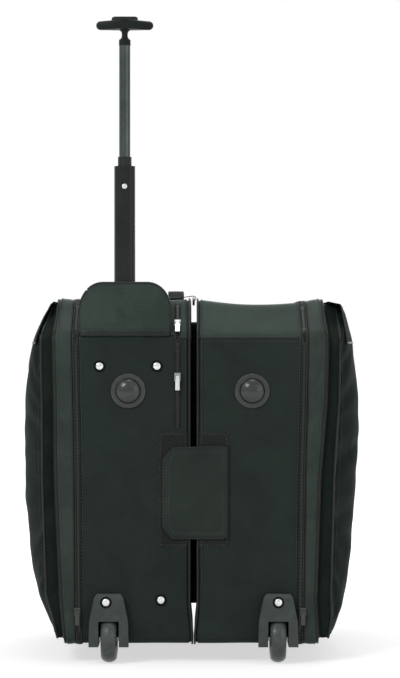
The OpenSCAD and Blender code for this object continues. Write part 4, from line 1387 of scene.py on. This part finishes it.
@dataclass
class Hood:
    """The padded hood pocket over the foot of the pole, piped round its top and hemmed below."""

    case: CaseFrame
    finish: Finishes
    foot: float = 492 * MM
    corner_wide: float = 36 * MM
    corner_high: float = 46 * MM
    thick: float = 3 * MM
    crown: float = 4.5 * MM
    fold: float = 7 * MM

    def __post_init__(self) -> None:
        """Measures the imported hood."""
        low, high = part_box("hood_pocket")
        self.near, self.far = self.case.gap_x - high[0], self.case.gap_x - low[0]
        self.top = high[2]

    def lean(self, z: Points) -> Points:
        """Gives how far behind the front panel the hood's front stands at a height."""
        return (-3 + 17 * np.clip((np.asarray(z) - self.foot) / (self.top - self.foot), 0, 1)) * MM

    def rim(self, x: Points) -> Points:
        """Gives the height of the hood's top edge, with its two round corners."""
        inset = np.minimum(np.asarray(x) - self.near, self.far - np.asarray(x))
        t = 1 - np.clip(inset / self.corner_wide, 0, 1)
        arch = 2.5 * MM * (np.abs(2 * (np.asarray(x) - self.near) / (self.far - self.near) - 1)) ** 2
        return self.top - arch - self.corner_high * (1 - np.sqrt(np.maximum(1 - t**2.1, 0)))

    def front(self, x: Points, z: Points, extra: float = 0.0) -> Points:
        """Places points of the hood's front with its crown.

        Args:
            x: distances from the gap's middle.
            z: heights.
            extra: how far the points stand proud of the cloth.

        Returns:
            Rows of x, y and z in the shared frame.
        """
        u = np.clip((x - self.near) / (self.far - self.near), 0, 1)
        v = np.clip((z - self.foot) / (self.top - self.foot), 0, 1)
        full = np.sin(math.pi * u) ** 0.6 * np.sin(math.pi * np.clip(v * 0.92 + 0.04, 0, 1)) ** 0.7
        waves = ripple(x, z * 1.4, 48 * MM, 83) * 0.7 * MM * full
        edge = np.minimum(x - self.near, self.far - x)
        tuck = self.fold * (1 - np.sqrt(1 - (1 - np.clip(edge / self.fold, 0, 1)) ** 2)) * 0.8
        y = self.lean(z) - self.crown * full - waves + tuck - extra
        sag = 2.2 * MM * np.sin(math.pi * u) * ease(v, 0.55, 1)
        return np.stack([self.case.gap_x - x, self.case.front_y + y, z - sag], axis=-1)

    def cloth(self) -> bpy.types.Object:
        """Builds the padded front with its two cheeks as one sheet with thickness."""
        front_x = np.concatenate([np.linspace(0, 1, 6)[:-1] * self.fold, np.linspace(self.fold,
                                 self.far - self.near - self.fold, 40),
                                 self.far - self.near - self.fold
                                 + np.linspace(0, 1, 6)[1:] * self.fold]) + self.near
        t = np.linspace(0, 1, 26)
        cheek = np.linspace(1, 0, 9)[:-1]
        columns = []
        slope = math.tan(self.case.outline.slope)
        for x_end, order in ((self.near, cheek), (self.far, cheek[::-1])):
            group = []
            for share in order:
                z = self.foot + t * (self.rim(np.array([x_end]))[0] - self.foot)
                first = self.front(np.full(len(t), x_end), z)
                wall = np.maximum((z - self.case.outline.shoulder) / slope, 0) + 1.0 * MM
                y = first[:, 1] + share * (self.case.front_y + wall - first[:, 1])
                bow = 1.2 * MM * math.sin(math.pi * share) * (-1 if x_end == self.near else 1)
                group.append(np.stack([np.full(len(t), self.case.gap_x - x_end - bow), y, first[:, 2]],
                                      axis=1))
            columns.append(group)
        middle = [self.front(np.full(len(t), x), self.foot + t * (self.rim(np.array([x]))[0] - self.foot))
                  for x in front_x]
        grid = np.array(columns[0] + middle + columns[1])
        # The hood wears the paler copy of the padded cloth, whose lighter tone is painted light.
        piece = new_piece("hood_cloth", grid.reshape(-1, 3), grid_faces(grid.shape[0], grid.shape[1]),
                          [self.finish["padded"], self.finish["lining"]])
        thick = piece.modifiers.new("Padding", "SOLIDIFY")
        thick.thickness, thick.offset, thick.material_offset = self.thick, -1, 1
        finer = piece.modifiers.new("Smooth cloth", "SUBSURF")
        finer.levels = finer.render_levels = 1
        return keep(piece, "left_case", ["hood_pocket"])

    def trim(self) -> None:
        """Adds the piping over the hood, its hem and their stitches."""
        xs = np.linspace(self.near, self.far, 60)
        sides = np.linspace(self.foot + 1 * MM, self.rim(np.array([self.near]))[0], 9)[:-1]
        path = np.concatenate([
            self.front(np.full(len(sides), self.near), sides, -1.5 * MM),
            self.front(xs, self.rim(xs), -1.5 * MM),
            self.front(np.full(len(sides), self.far), sides[::-1], -1.5 * MM)])
        path = spaced(path, 3 * MM)
        keep(rope("hood_piping", path, 2.4 * MM, self.finish["piping"]), "left_case")
        hem_x = np.linspace(self.near + 1.5 * MM, self.far - 1.5 * MM, 44)
        hem = self.front(hem_x, self.foot + 4.0 * MM, 0.2 * MM)
        out = np.tile([[0, -1.0, 0.15]], (len(hem_x), 1))
        points, faces = sweep(hem, out, strap_profile(9 * MM, 1.1 * MM), False)
        band = new_piece("hood_hem_band", points, faces, [self.finish["piping"]])
        rows = [stitches(f"hood_row_{k}", self.front(hem_x[1:-1], self.foot + h * MM, rise * MM), out[1:-1],
                         self.finish["thread"]) for k, (h, rise) in enumerate(((7.0, 1.3), (11.5, 0.2)))]
        keep(joined("hood_hem", [band] + rows), "left_case")
        inner_x = np.linspace(self.near + 9 * MM, self.far - 9 * MM, 50)
        run = self.front(inner_x, self.rim(inner_x) - 8 * MM, 0.2 * MM)
        keep(stitches("hood_thread", run, np.tile([[0, -1.0, 0.3]], (len(run), 1)), self.finish["thread"]),
             "left_case")

    def build(self) -> None:
        """Builds the hood."""
        self.cloth()
        self.trim()


# ---- zippers ----


@dataclass
class Zipper:
    """A coil zipper sewn on the outside of a compartment: two tapes and one row of coil."""

    case: CaseFrame
    side: Side
    finish: Finishes
    name: str
    node: str
    middle: float
    width: float = 8.6 * MM
    coil: float = 4.6 * MM
    pitch: float = 1.9 * MM

    def run(self, low: float, high: float, back: float, whole: bool) -> tuple[Points, Points]:
        """Gives the zipper's path and the direction out of the cloth.

        Args:
            low: height where a zipper up the front starts.
            high: distance behind the front panel where it ends.
            back: distance behind the front panel where one that goes all round ends.
            whole: whether it goes round the bottom, front and top.

        Returns:
            Rows of points and rows of directions.
        """
        loop = self.case.outline.loop(step=4 * MM)
        out = self.case.outline.outward(loop)
        if whole:
            used = loop[:, 0] < back
        else:
            used = ((loop[:, 1] > low) & (loop[:, 0] < high) & (loop[:, 1] > 100 * MM))
        start = int(np.argmin(used)) if not used.all() else 0
        loop, out, used = (np.roll(a, -start, axis=0) for a in (loop, out, used))
        loop, out = loop[used], out[used]
        path = self.case.at(self.side, self.middle, loop[:, 0], loop[:, 1])
        return path, self.case.out(self.side, np.stack([np.zeros(len(out)), out[:, 0], out[:, 1]], axis=1))

    def build(self, path: Points, out: Points, body: str) -> bpy.types.Object:
        """Makes the tapes and the coil.

        Args:
            path: the zipper's middle line on the cloth.
            out: the direction out of the cloth.
            body: the body that it rides on.

        Returns:
            The new piece.
        """
        points, faces = sweep(path + out * 0.1 * MM, out, strap_profile(self.width, 0.45 * MM), False)
        tape = new_piece(f"{self.name}_tape", points, faces, [self.finish["tape"]])
        fine = spaced(np.hstack([path, out]), self.pitch)
        at, up = fine[:, :3], fine[:, 3:]
        up = up / np.linalg.norm(up, axis=1, keepdims=True)
        ahead = headings(at, False)
        aside = np.cross(ahead, up)
        shift = np.where(np.arange(len(at)) % 2 == 0, 0.4 * MM, -0.4 * MM)[:, None]
        at = at + aside * shift
        form = [(a, s, h) for h, spread in ((0.3, 1.0), (1.15, 0.8)) for a, s in
                ((-0.32, -spread), (0.32, -spread), (0.32, spread), (-0.32, spread))]
        corners = np.stack([at + ahead * (a * self.pitch) + aside * (s * self.coil / 2) + up * (h * MM)
                            for a, s, h in form], axis=1).reshape(-1, 3)
        skin = [(0, 1, 2, 3), (4, 7, 6, 5), (0, 4, 5, 1), (1, 5, 6, 2), (2, 6, 7, 3), (3, 7, 4, 0)]
        faces = [[k * 8 + c for c in f] for k in range(len(at)) for f in skin]
        coil = new_piece(f"{self.name}_coil", corners, faces, [self.finish["coil"]], smooth=False)
        rows = []
        for edge in (-1, 1):
            side = path + np.cross(headings(path, False), out) * (edge * (self.width / 2 - 0.9 * MM))
            rows.append(stitches(f"{self.name}_row_{edge}", side + out * 0.6 * MM, out,
                                 self.finish["thread"], pitch=5.2 * MM, thick=0.4 * MM))
        piece = joined(self.name, [tape, coil] + rows)
        return keep(piece, body, [self.node])


# ---- flap, patches, straps ----


@dataclass
class Closure:
    """The hook-and-loop flap over the gap and the two loop patches that it lies on."""

    case: CaseFrame
    finish: Finishes
    cut: float = 14 * MM
    tilt: float = 3 * MM
    binding: float = 1.5 * MM

    def __post_init__(self) -> None:
        """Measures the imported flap."""
        low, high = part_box("closure_flap")
        self.left, self.right = low[0], high[0]
        self.low, self.high, self.back = low[2], high[2], high[1]

    def limits(self, x: Points) -> tuple[Points, Points]:
        """Gives the lower and upper edge of the flap at a distance from its free end."""
        u = np.asarray(x) - self.left
        nip = np.maximum(self.cut - u, 0) * (self.cut + 4 * MM) / self.cut
        top = self.high - self.tilt * np.clip(1 - (u - self.cut) / (self.right - self.left), 0, 1)
        return self.low + nip, top - nip

    def skin(self, x: Points, v: Points, lift: float) -> Points:
        """Places points of the flap, which lies a little wavy and lifts at its free end.

        Args:
            x: places along the X axis.
            v: shares of the way from the lower to the upper edge.
            lift: how far the points stand out of the flap's back.

        Returns:
            Rows of x, y and z.
        """
        low, high = self.limits(x)
        z = low + (high - low) * v
        free = ease(1 - (x - self.left) / (self.right - self.left), 0.55, 1)
        wave = ripple(x, z, 60 * MM, 7) * 0.35 * MM * (0.3 + free)
        y = self.back - lift - 0.9 * MM * free - 0.5 * MM - wave
        return np.stack([x, y, z], axis=-1)

    def flap(self) -> bpy.types.Object:
        """Builds the flap with its bound edge and its rows of stitches."""
        xs = self.left + (self.right - self.left) * np.concatenate([np.linspace(0, 0.15, 8)[:-1],
                                                                    np.linspace(0.15, 1, 30)])
        vs = np.linspace(0, 1, 30)
        grid_x, grid_v = np.meshgrid(xs, vs)
        front, back = self.skin(grid_x, grid_v, 1.9 * MM), self.skin(grid_x, grid_v, 0.0)
        sheet = slab("flap_cloth", front, back, [self.finish["flap"]])
        tall = self.limits(xs)[1] - self.limits(xs)[0]
        keep(sheet, "flap", ["closure_flap"])
        # The hinge side is sewn down, so the binding runs round the three free edges only.
        rows, columns = grid_x.shape
        rim = grid_rim(rows, columns)
        edge = np.array([(front[at] + back[at]) / 2 for at in rim[rows + columns - 2:] + rim[:columns]])
        edge = edge[edge[:, 0] < self.right - 2 * self.binding]
        keep(rope("flap_binding", spaced(edge, 3 * MM), self.binding, self.finish["piping"]),
             "flap")
        seams = []
        for inset in (6 * MM, 9 * MM):
            line = []
            nip = self.left + self.cut + 2 * MM
            for x, v in ((self.right - inset, 0), (self.right - inset, 1), (nip, 1),
                         (self.left + inset, 0.84), (self.left + inset, 0.16), (nip, 0)):
                low, top = self.limits(np.array([x]))
                room = inset / (top[0] - low[0])
                line.append((x, min(max(v, room), 1 - room)))
            line = np.array(line + line[:1])
            dense = np.concatenate([np.linspace(a, b, 24)[:-1] for a, b in zip(line[:-1], line[1:])])
            run = self.skin(dense[:, 0], dense[:, 1], 2.0 * MM)
            seams.append(stitches(f"seam_{inset:.3f}", run, np.tile([[0, -1.0, 0]], (len(run), 1)),
                                  self.finish["thread"]))
        keep(joined("flap_thread", seams), "flap")
        return sheet

    def patch(self, side: Side) -> bpy.types.Object:
        """Builds one patch of loop pile with its sewn border."""
        low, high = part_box(f"{side.word}_loop_patch")
        draw = np.random.default_rng(17 if side is Side.LEFT else 19)
        xs = np.linspace(low[0], high[0], 26)
        zs = np.linspace(low[2], high[2], 90)
        gx, gz = np.meshgrid(xs, zs)
        edge = np.minimum(np.minimum(gx - low[0], high[0] - gx), np.minimum(gz - low[2], high[2] - gz))
        tuft = draw.uniform(0, 0.35 * MM, gx.shape) * (edge > 0)
        seam = 0.35 * MM * np.exp(-(((edge - 3 * MM) / (1.2 * MM)) ** 2))
        y = high[1] - (0.25 * MM + 0.8 * MM * ease(edge, 0, 1.5 * MM)) - tuft + seam
        top, foot = (np.stack([gx, depth, gz], axis=-1) for depth in (y, np.full_like(y, high[1])))
        piece = slab(f"{side.word}_loop_pile", top, foot, [self.finish["loop"]])
        keep(piece, f"{side.word}_case", [f"{side.word}_loop_patch"])
        d = 3 * MM
        corners = np.array([(low[0] + d, low[2] + d), (high[0] - d, low[2] + d), (high[0] - d, high[2] - d),
                            (low[0] + d, high[2] - d), (low[0] + d, low[2] + d)])
        line = spaced(corners, 3 * MM)
        run = np.stack([line[:, 0], np.full(len(line), low[1] - 0.1 * MM), line[:, 1]], axis=1)
        keep(stitches(f"{side.word}_loop_thread", run, np.tile([[0, -1.0, 0]], (len(run), 1)),
                      self.finish["thread"]), f"{side.word}_case")
        return piece

    def build(self) -> None:
        """Builds the flap and both patches."""
        self.flap()
        for side in Side:
            self.patch(side)


@dataclass
class Straps:
    """The webbing carry handle, the tab that keeps the ring, and the cloth spine at the rear."""

    case: CaseFrame
    finish: Finishes
    width: float = 24 * MM
    thick: float = 2.6 * MM
    middle: float = 28 * MM
    ring_back: float = 72 * MM
    tab_width: float = 11 * MM

    def handle(self) -> bpy.types.Object:
        """Builds the carry handle with the stitched boxes at its ends and its tab."""
        half, top, mid = 75 * MM, self.case.outline.top, self.case.outline.depth / 2
        rise = 12 * MM
        left = [(-half, 0), (-half + 19 * MM, 0), (-half + 35 * MM, rise * 0.95), (-18 * MM, rise)]
        line = spaced(np.array(left + [(-x, z) for x, z in left[::-1]]), 3 * MM)
        for _ in range(3):
            line[1:-1] = (line[:-2] + 2 * line[1:-1] + line[2:]) / 4
        path = self.case.at(Side.LEFT, self.middle, mid + line[:, 0], top + line[:, 1] + 0.3 * MM)
        ahead = headings(path, False)
        up = np.cross(np.tile([[1.0, 0, 0]], (len(path), 1)), ahead)
        points, faces = sweep(path, up, strap_profile(self.width, self.thick), False)
        parts = [new_piece("handle_strap", points, faces, [self.finish["webbing"]])]
        for end in (-1, 1):
            box = [(-1, 0.15), (1, 0.15), (1, 1), (-1, 1), (-1, 0.15), (1, 1), (-1, 1), (1, 0.15)]
            corner = np.array([(self.middle + w * 9 * MM, end * (half - d * 15 * MM)) for w, d in box])
            run = np.concatenate([np.linspace(a, b, 8)[:-1] for a, b in zip(corner[:-1], corner[1:])])
            place = self.case.at(Side.LEFT, run[:, 0], mid + run[:, 1], top + self.thick + 0.7 * MM)
            parts.append(stitches(f"handle_box_{end}", place, np.tile([[0, 0, 1.0]], (len(run), 1)),
                                  self.finish["thread"], pitch=3.6 * MM, long=2.6 * MM))
        parts.append(self.tab())
        return keep(joined("carry_handle_webbing", parts), "left_case", ["carry_handle"])

    def tab(self) -> bpy.types.Object:
        """Builds the tab of webbing that folds round the ring's bar."""
        top, radius = self.case.outline.top, 3.0 * MM
        inner = self.case.inner
        turn = np.radians(np.linspace(90, -95, 14))
        ring = np.stack([-radius * np.cos(turn), top + 1 * MM + radius * np.sin(turn)], axis=1)
        line = np.concatenate([[(inner + 24 * MM, top + 0.9 * MM), (inner + 17 * MM, top + 1.0 * MM),
                                (inner + 8 * MM, top + 2.6 * MM), (2 * MM, top + 4 * MM)], ring])
        line = spaced(line, 1.2 * MM)
        path = np.stack([self.case.gap_x - line[:, 0],
                         np.full(len(line), self.case.front_y + self.ring_back), line[:, 1]], axis=1)
        ahead = headings(path, False)
        up = np.cross(np.tile([[0, 1.0, 0]], (len(path), 1)), ahead) * -1
        points, faces = sweep(path, up, strap_profile(self.tab_width, 1.0 * MM), False)
        return new_piece("ring_tab", points, faces, [self.finish["webbing"]])

    def spine(self) -> bpy.types.Object:
        """Builds the strip of cloth between the compartments, on which the right one swings."""
        y = self.case.rear_y - 1.6 * MM
        low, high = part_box("rear_spine")
        zs = np.linspace(low[2], high[2], 60)
        across = np.linspace(-self.case.inner, self.case.inner, 13)
        gx, gz = np.meshgrid(across, zs)
        dip = 1.1 * MM * np.cos(gx / self.case.inner * math.pi / 2) + 0.25 * MM * np.sin(gz * 190)
        front, back = (np.stack([self.case.gap_x + gx, y - dip - skin, gz], axis=-1)
                       for skin in (0.0, 1.0 * MM))
        piece = slab("spine_cloth", front, back, [self.finish["panel"]])
        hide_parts("rear_spine")
        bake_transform(piece)
        return piece

    def build(self) -> None:
        """Builds the handle and the spine."""
        self.handle()
        self.spine()


@dataclass
class Divider:
    """The padded wall of the laptop sleeve in the right compartment, with a bound top edge."""

    case: CaseFrame
    finish: Finishes
    rows: int = 30
    columns: int = 26

    def build(self) -> bpy.types.Object:
        """Builds the divider.

        Returns:
            The padded piece.
        """
        low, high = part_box("laptop_divider")
        loop = self.case.outline.loop(5 * MM, step=2 * MM)
        zs = np.linspace(low[2] + 1 * MM, high[2] - 1 * MM, self.rows)
        near, far = self.case.outline.ends(loop, zs)
        u = np.linspace(0, 1, self.columns)
        y = self.case.front_y + near[:, None] + (far - near)[:, None] * u
        z = np.repeat(zs[:, None], self.columns, axis=1)
        v = (z - zs[0]) / (zs[-1] - zs[0])
        full = (np.sin(math.pi * u)[None, :] * np.sin(math.pi * v)) ** 0.3
        channel = 0.6 * MM * np.exp(-((((y - self.case.front_y) % (58 * MM)) - 29 * MM) / (3 * MM)) ** 2)
        half_wide = (high[0] - low[0]) / 2 * (0.25 + 0.75 * full) - channel * full
        mid_x = (low[0] + high[0]) / 2
        front, back = (np.stack([mid_x + way * half_wide, y, z], axis=-1) for way in (-1, 1))
        piece = slab("divider_pad", front, back, [self.finish["lining"]])
        keep(piece, "right_case", ["laptop_divider"])
        ys = np.linspace(self.case.front_y + 7 * MM, self.case.rear_y - 7 * MM, 50)
        path = np.stack([np.full(len(ys), mid_x), ys, np.full(len(ys), zs[-1])], axis=1)
        keep(rope("divider_binding", path, 2.2 * MM, self.finish["webbing"]), "right_case")
        return piece


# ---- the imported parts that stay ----


@dataclass
class Hardware:
    """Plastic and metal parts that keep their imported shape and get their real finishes."""

    finish: Finishes
    # Radius of the dark ring round each rivet head, which is painted shade of its recess.
    washer: float = 7.2 * MM

    def finishes_by_node(self) -> dict[str, tuple[str, float]]:
        """Lists each kept node's finish and how far its edges are rounded.

        Returns:
            The finish's short name and the rounding for each node.
        """
        table: dict[str, tuple[str, float]] = {
            "pole_channel": ("aluminium", 0.0), "pole_well": ("hard", 0.8 * MM),
            "pole_top_bracket": ("steel", 0.0), "pole_foot_bracket": ("steel", 0.0),
            "pole_rivets": ("rivet", 0.0), "right_rivet": ("rivet", 0.0), "d_ring": ("steel", 0.0),
            "lower_tube": ("paint", 0.3 * MM), "tube_bush": ("hard", 0.5 * MM), "stop_pin": ("rivet", 0.0),
            "upper_tube": ("nickel", 0.0), "grip": ("grip", 0.0), "release_button": ("hard", 0.5 * MM),
            "release_rod": ("steel", 0.0)}
        for word in ("left", "right"):
            table.update({
                f"{word}_tyre": ("tyre", 0.0), f"{word}_hub": ("hub", 0.5 * MM),
                f"{word}_bearings": ("steel", 0.0),
                f"{word}_axle": ("steel", 0.0), f"{word}_wheel_housing": ("housing", 1.0 * MM),
                f"{word}_dome_foot": ("dome", 0.0), f"{word}_rear_foot": ("hard", 1.2 * MM),
                f"{word}_lid_slider": ("dark_slider", 0.3 * MM),
                f"{word}_lid_pull": ("dark_slider", 0.2 * MM)})
        for place in ("front", "shoulder"):
            table.update({f"{place}_slider": ("slider", 0.3 * MM), f"{place}_pull": ("pull", 0.2 * MM)})
        return table

    def rivet_places(self) -> dict[str, list[tuple[float, float, float]]]:
        """Finds the middle of each rivet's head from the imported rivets' corners.

        Returns:
            The places of the heads on the cloth for each body.
        """
        places: dict[str, list[tuple[float, float, float]]] = {"left_case": [], "right_case": []}
        for node, body in (("pole_rivets", "left_case"), ("right_rivet", "right_case")):
            mesh = frame["nodes"][node].data
            corners = np.array([v.co for v in mesh.vertices])
            while len(corners):
                near = np.linalg.norm(corners[:, ::2] - corners[0, ::2], axis=1) < 3 * self.washer
                group = corners[near]
                middle = (group.min(axis=0) + group.max(axis=0)) / 2
                places[body].append((middle[0], group[:, 1].min() + 2.4 * MM, middle[2]))
                corners = corners[~near]
        return places

    def washers(self) -> None:
        """Sets a dark ring round each rivet's head, painted shade for the recess that the head sits in."""
        turn = np.linspace(0, 2 * math.pi, 28, endpoint=False)
        for body, places in self.rivet_places().items():
            rings = []
            for n, (x, y, z) in enumerate(places):
                path = np.stack([x + self.washer * np.cos(turn), np.full(28, y),
                                 z + self.washer * np.sin(turn)], axis=1)
                rings.append(rope(f"ring_{n}", path, 1.5 * MM, self.finish["washer"], closed=True))
            keep(joined(f"{body}_rivet_washers", rings), body)

    def build(self) -> None:
        """Dresses every kept node."""
        self.washers()
        for name, (finish, rounding) in self.finishes_by_node().items():
            node = frame["nodes"][name]
            below = [c for c in node.children_recursive if c.type == "MESH"]
            for target in [node] if node.type == "MESH" else below:
                if not target.material_slots:
                    target.data.materials.append(self.finish[finish])
                for slot in target.material_slots:
                    slot.material = self.finish[finish]
                if rounding:
                    soften(target, rounding)
            LOG.info("node %s wears %s", name, finish)


# ---- studio ----


@dataclass
class Studio:
    """The pale floor, soft lamps and the camera, level with the middle of the case."""

    away: float = 3.0
    view_height: float = 1.017
    sensor: float = 36.0

    def camera(self) -> None:
        """Sets the camera straight in front of the wheeled side."""
        data = bpy.data.cameras.new("Camera")
        data.sensor_width = self.sensor
        data.lens = self.sensor * self.away / self.view_height
        camera = bpy.data.objects.new("Camera", data)
        camera.location = (0.01225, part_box("right_front_panel")[0][1] - self.away, 0.48675)
        camera.rotation_euler = (math.radians(90), 0, 0)
        bpy.context.scene.collection.objects.link(camera)
        bpy.context.scene.camera = camera

    def lamp(self, name: str, at: Sequence[float], aim: Sequence[float], size: float, power: float) -> None:
        """Adds one soft box.

        Args:
            name: its name.
            at: where it stands.
            aim: the point that it faces.
            size: the side of its square.
            power: its power in watts.
        """
        data = bpy.data.lights.new(name, "AREA")
        data.size, data.energy = size, power
        lamp = bpy.data.objects.new(name, data)
        lamp.location = at
        lamp.rotation_euler = (Vector(aim) - Vector(at)).to_track_quat("-Z", "Y").to_euler()
        bpy.context.scene.collection.objects.link(lamp)

    @staticmethod
    def seen(tree: bpy.types.NodeTree) -> bpy.types.NodeSocket:
        """Gives one for a ray from the camera, a mirror or a clear piece, and nothing for the rest."""
        path = add_node(tree, "ShaderNodeLightPath")
        mirrored = add_node(tree, "ShaderNodeMath", {0: path.outputs["Is Glossy Ray"],
                            1: path.outputs["Is Transmission Ray"]}, operation="MAXIMUM")
        return add_node(tree, "ShaderNodeMath", {0: path.outputs["Is Camera Ray"],
                        1: mirrored.outputs[0]}, operation="MAXIMUM").outputs[0]

    def world(self) -> None:
        """Gives a dim even room light that the camera and mirrors see as white."""
        world = bpy.data.worlds.new("Studio")
        world.use_nodes = True
        tree = world.node_tree
        tree.nodes.clear()
        strength = add_node(tree, "ShaderNodeMapRange", {"Value": self.seen(tree), "To Min": 0.24,
                            "To Max": 1.0})
        light = add_node(tree, "ShaderNodeBackground", {"Color": (1, 1, 1, 1),
                         "Strength": strength.outputs[0]})
        add_node(tree, "ShaderNodeOutputWorld", {"Surface": light.outputs[0]})
        bpy.context.scene.world = world

    def floor(self) -> None:
        """Lays a wide pale floor that keeps the shadow of the case and runs out to white."""
        shade = bpy.data.materials.new("matt white studio paper")
        shade.use_nodes = True
        tree = shade.node_tree
        tree.nodes.clear()
        place = add_node(tree, "ShaderNodeTexCoord").outputs["Object"]
        fibre = add_node(tree, "ShaderNodeTexNoise", {"Vector": place, "Scale": 90.0, "Detail": 3.0})
        tone = add_node(tree, "ShaderNodeMix", {"Factor": fibre.outputs["Fac"], 6: linear("dcdcdc"),
                        7: linear("e2e2e2")}, data_type="RGBA")
        paper = add_node(tree, "ShaderNodeBsdfPrincipled", {"Base Color": tone.outputs[2], "Roughness": 0.9,
                         "Specular IOR Level": 0.1})
        away = add_node(tree, "ShaderNodeVectorMath", {0: place}, operation="LENGTH")
        even = add_node(tree, "ShaderNodeMapRange", {"Value": away.outputs["Value"], "From Min": 0.3,
                        "From Max": 1.4, "To Min": 0.62, "To Max": 1.0})
        lift = add_node(tree, "ShaderNodeMath", {0: self.seen(tree), 1: even.outputs[0]},
                        operation="MULTIPLY")
        glow = add_node(tree, "ShaderNodeEmission", {"Color": (1, 1, 1, 1), "Strength": lift.outputs[0]})
        both = add_node(tree, "ShaderNodeAddShader", {0: paper.outputs[0], 1: glow.outputs[0]})
        add_node(tree, "ShaderNodeOutputMaterial", {"Surface": both.outputs[0]})
        half = 30.0
        plane = new_piece("studio floor", np.array([(-half, -half, 0), (half, -half, 0), (half, half, 0),
                                                    (-half, half, 0)]), [(0, 1, 2, 3)], [shade])

    def build(self) -> None:
        """Sets up the whole studio."""
        self.camera()
        self.world()
        self.floor()
        self.lamp("key", (-1.6, -2.2, 2.3), (0, 0, 0.4), 1.1, 34)
        self.lamp("fill", (2.1, -1.9, 1.1), (0, 0, 0.4), 1.8, 8)
        self.lamp("top", (0.1, 0.1, 2.4), (0, 0, 0.4), 1.2, 12)
        self.lamp("rear", (0.6, 2.4, 1.6), (0, 0, 0.4), 1.8, 16)
        bpy.context.scene.view_settings.view_transform = "Standard"


def main() -> None:
    """Builds the whole case in order and reports each piece."""
    logging.basicConfig(level=logging.INFO, format="%(name)s: %(message)s")
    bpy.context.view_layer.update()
    Studio().build()
    finish = Finishes().build()
    case = CaseFrame()
    Hardware(finish).build()
    for side in Side:
        Compartment(case, side, finish).build()
        Lid(case, side, finish).build()
        Pocket(case, side, finish).build()
        zipper = Zipper(case, side, finish, f"{side.word}_lid_zip", f"{side.word}_lid_zipper",
                        case.edges[side] - 4.8 * MM)
        zipper.build(*zipper.run(0, 0, 320 * MM, True), f"{side.word}_case")
    Hood(case, finish).build()
    front = Zipper(case, Side.LEFT, finish, "front_zip", "front_zipper", 24 * MM)
    front.build(*front.run(350 * MM, 44 * MM, 0, False), "left_case")
    Closure(case, finish).build()
    Straps(case, finish).build()
    Divider(case, finish).build()


if __name__ == "__main__":
    main()
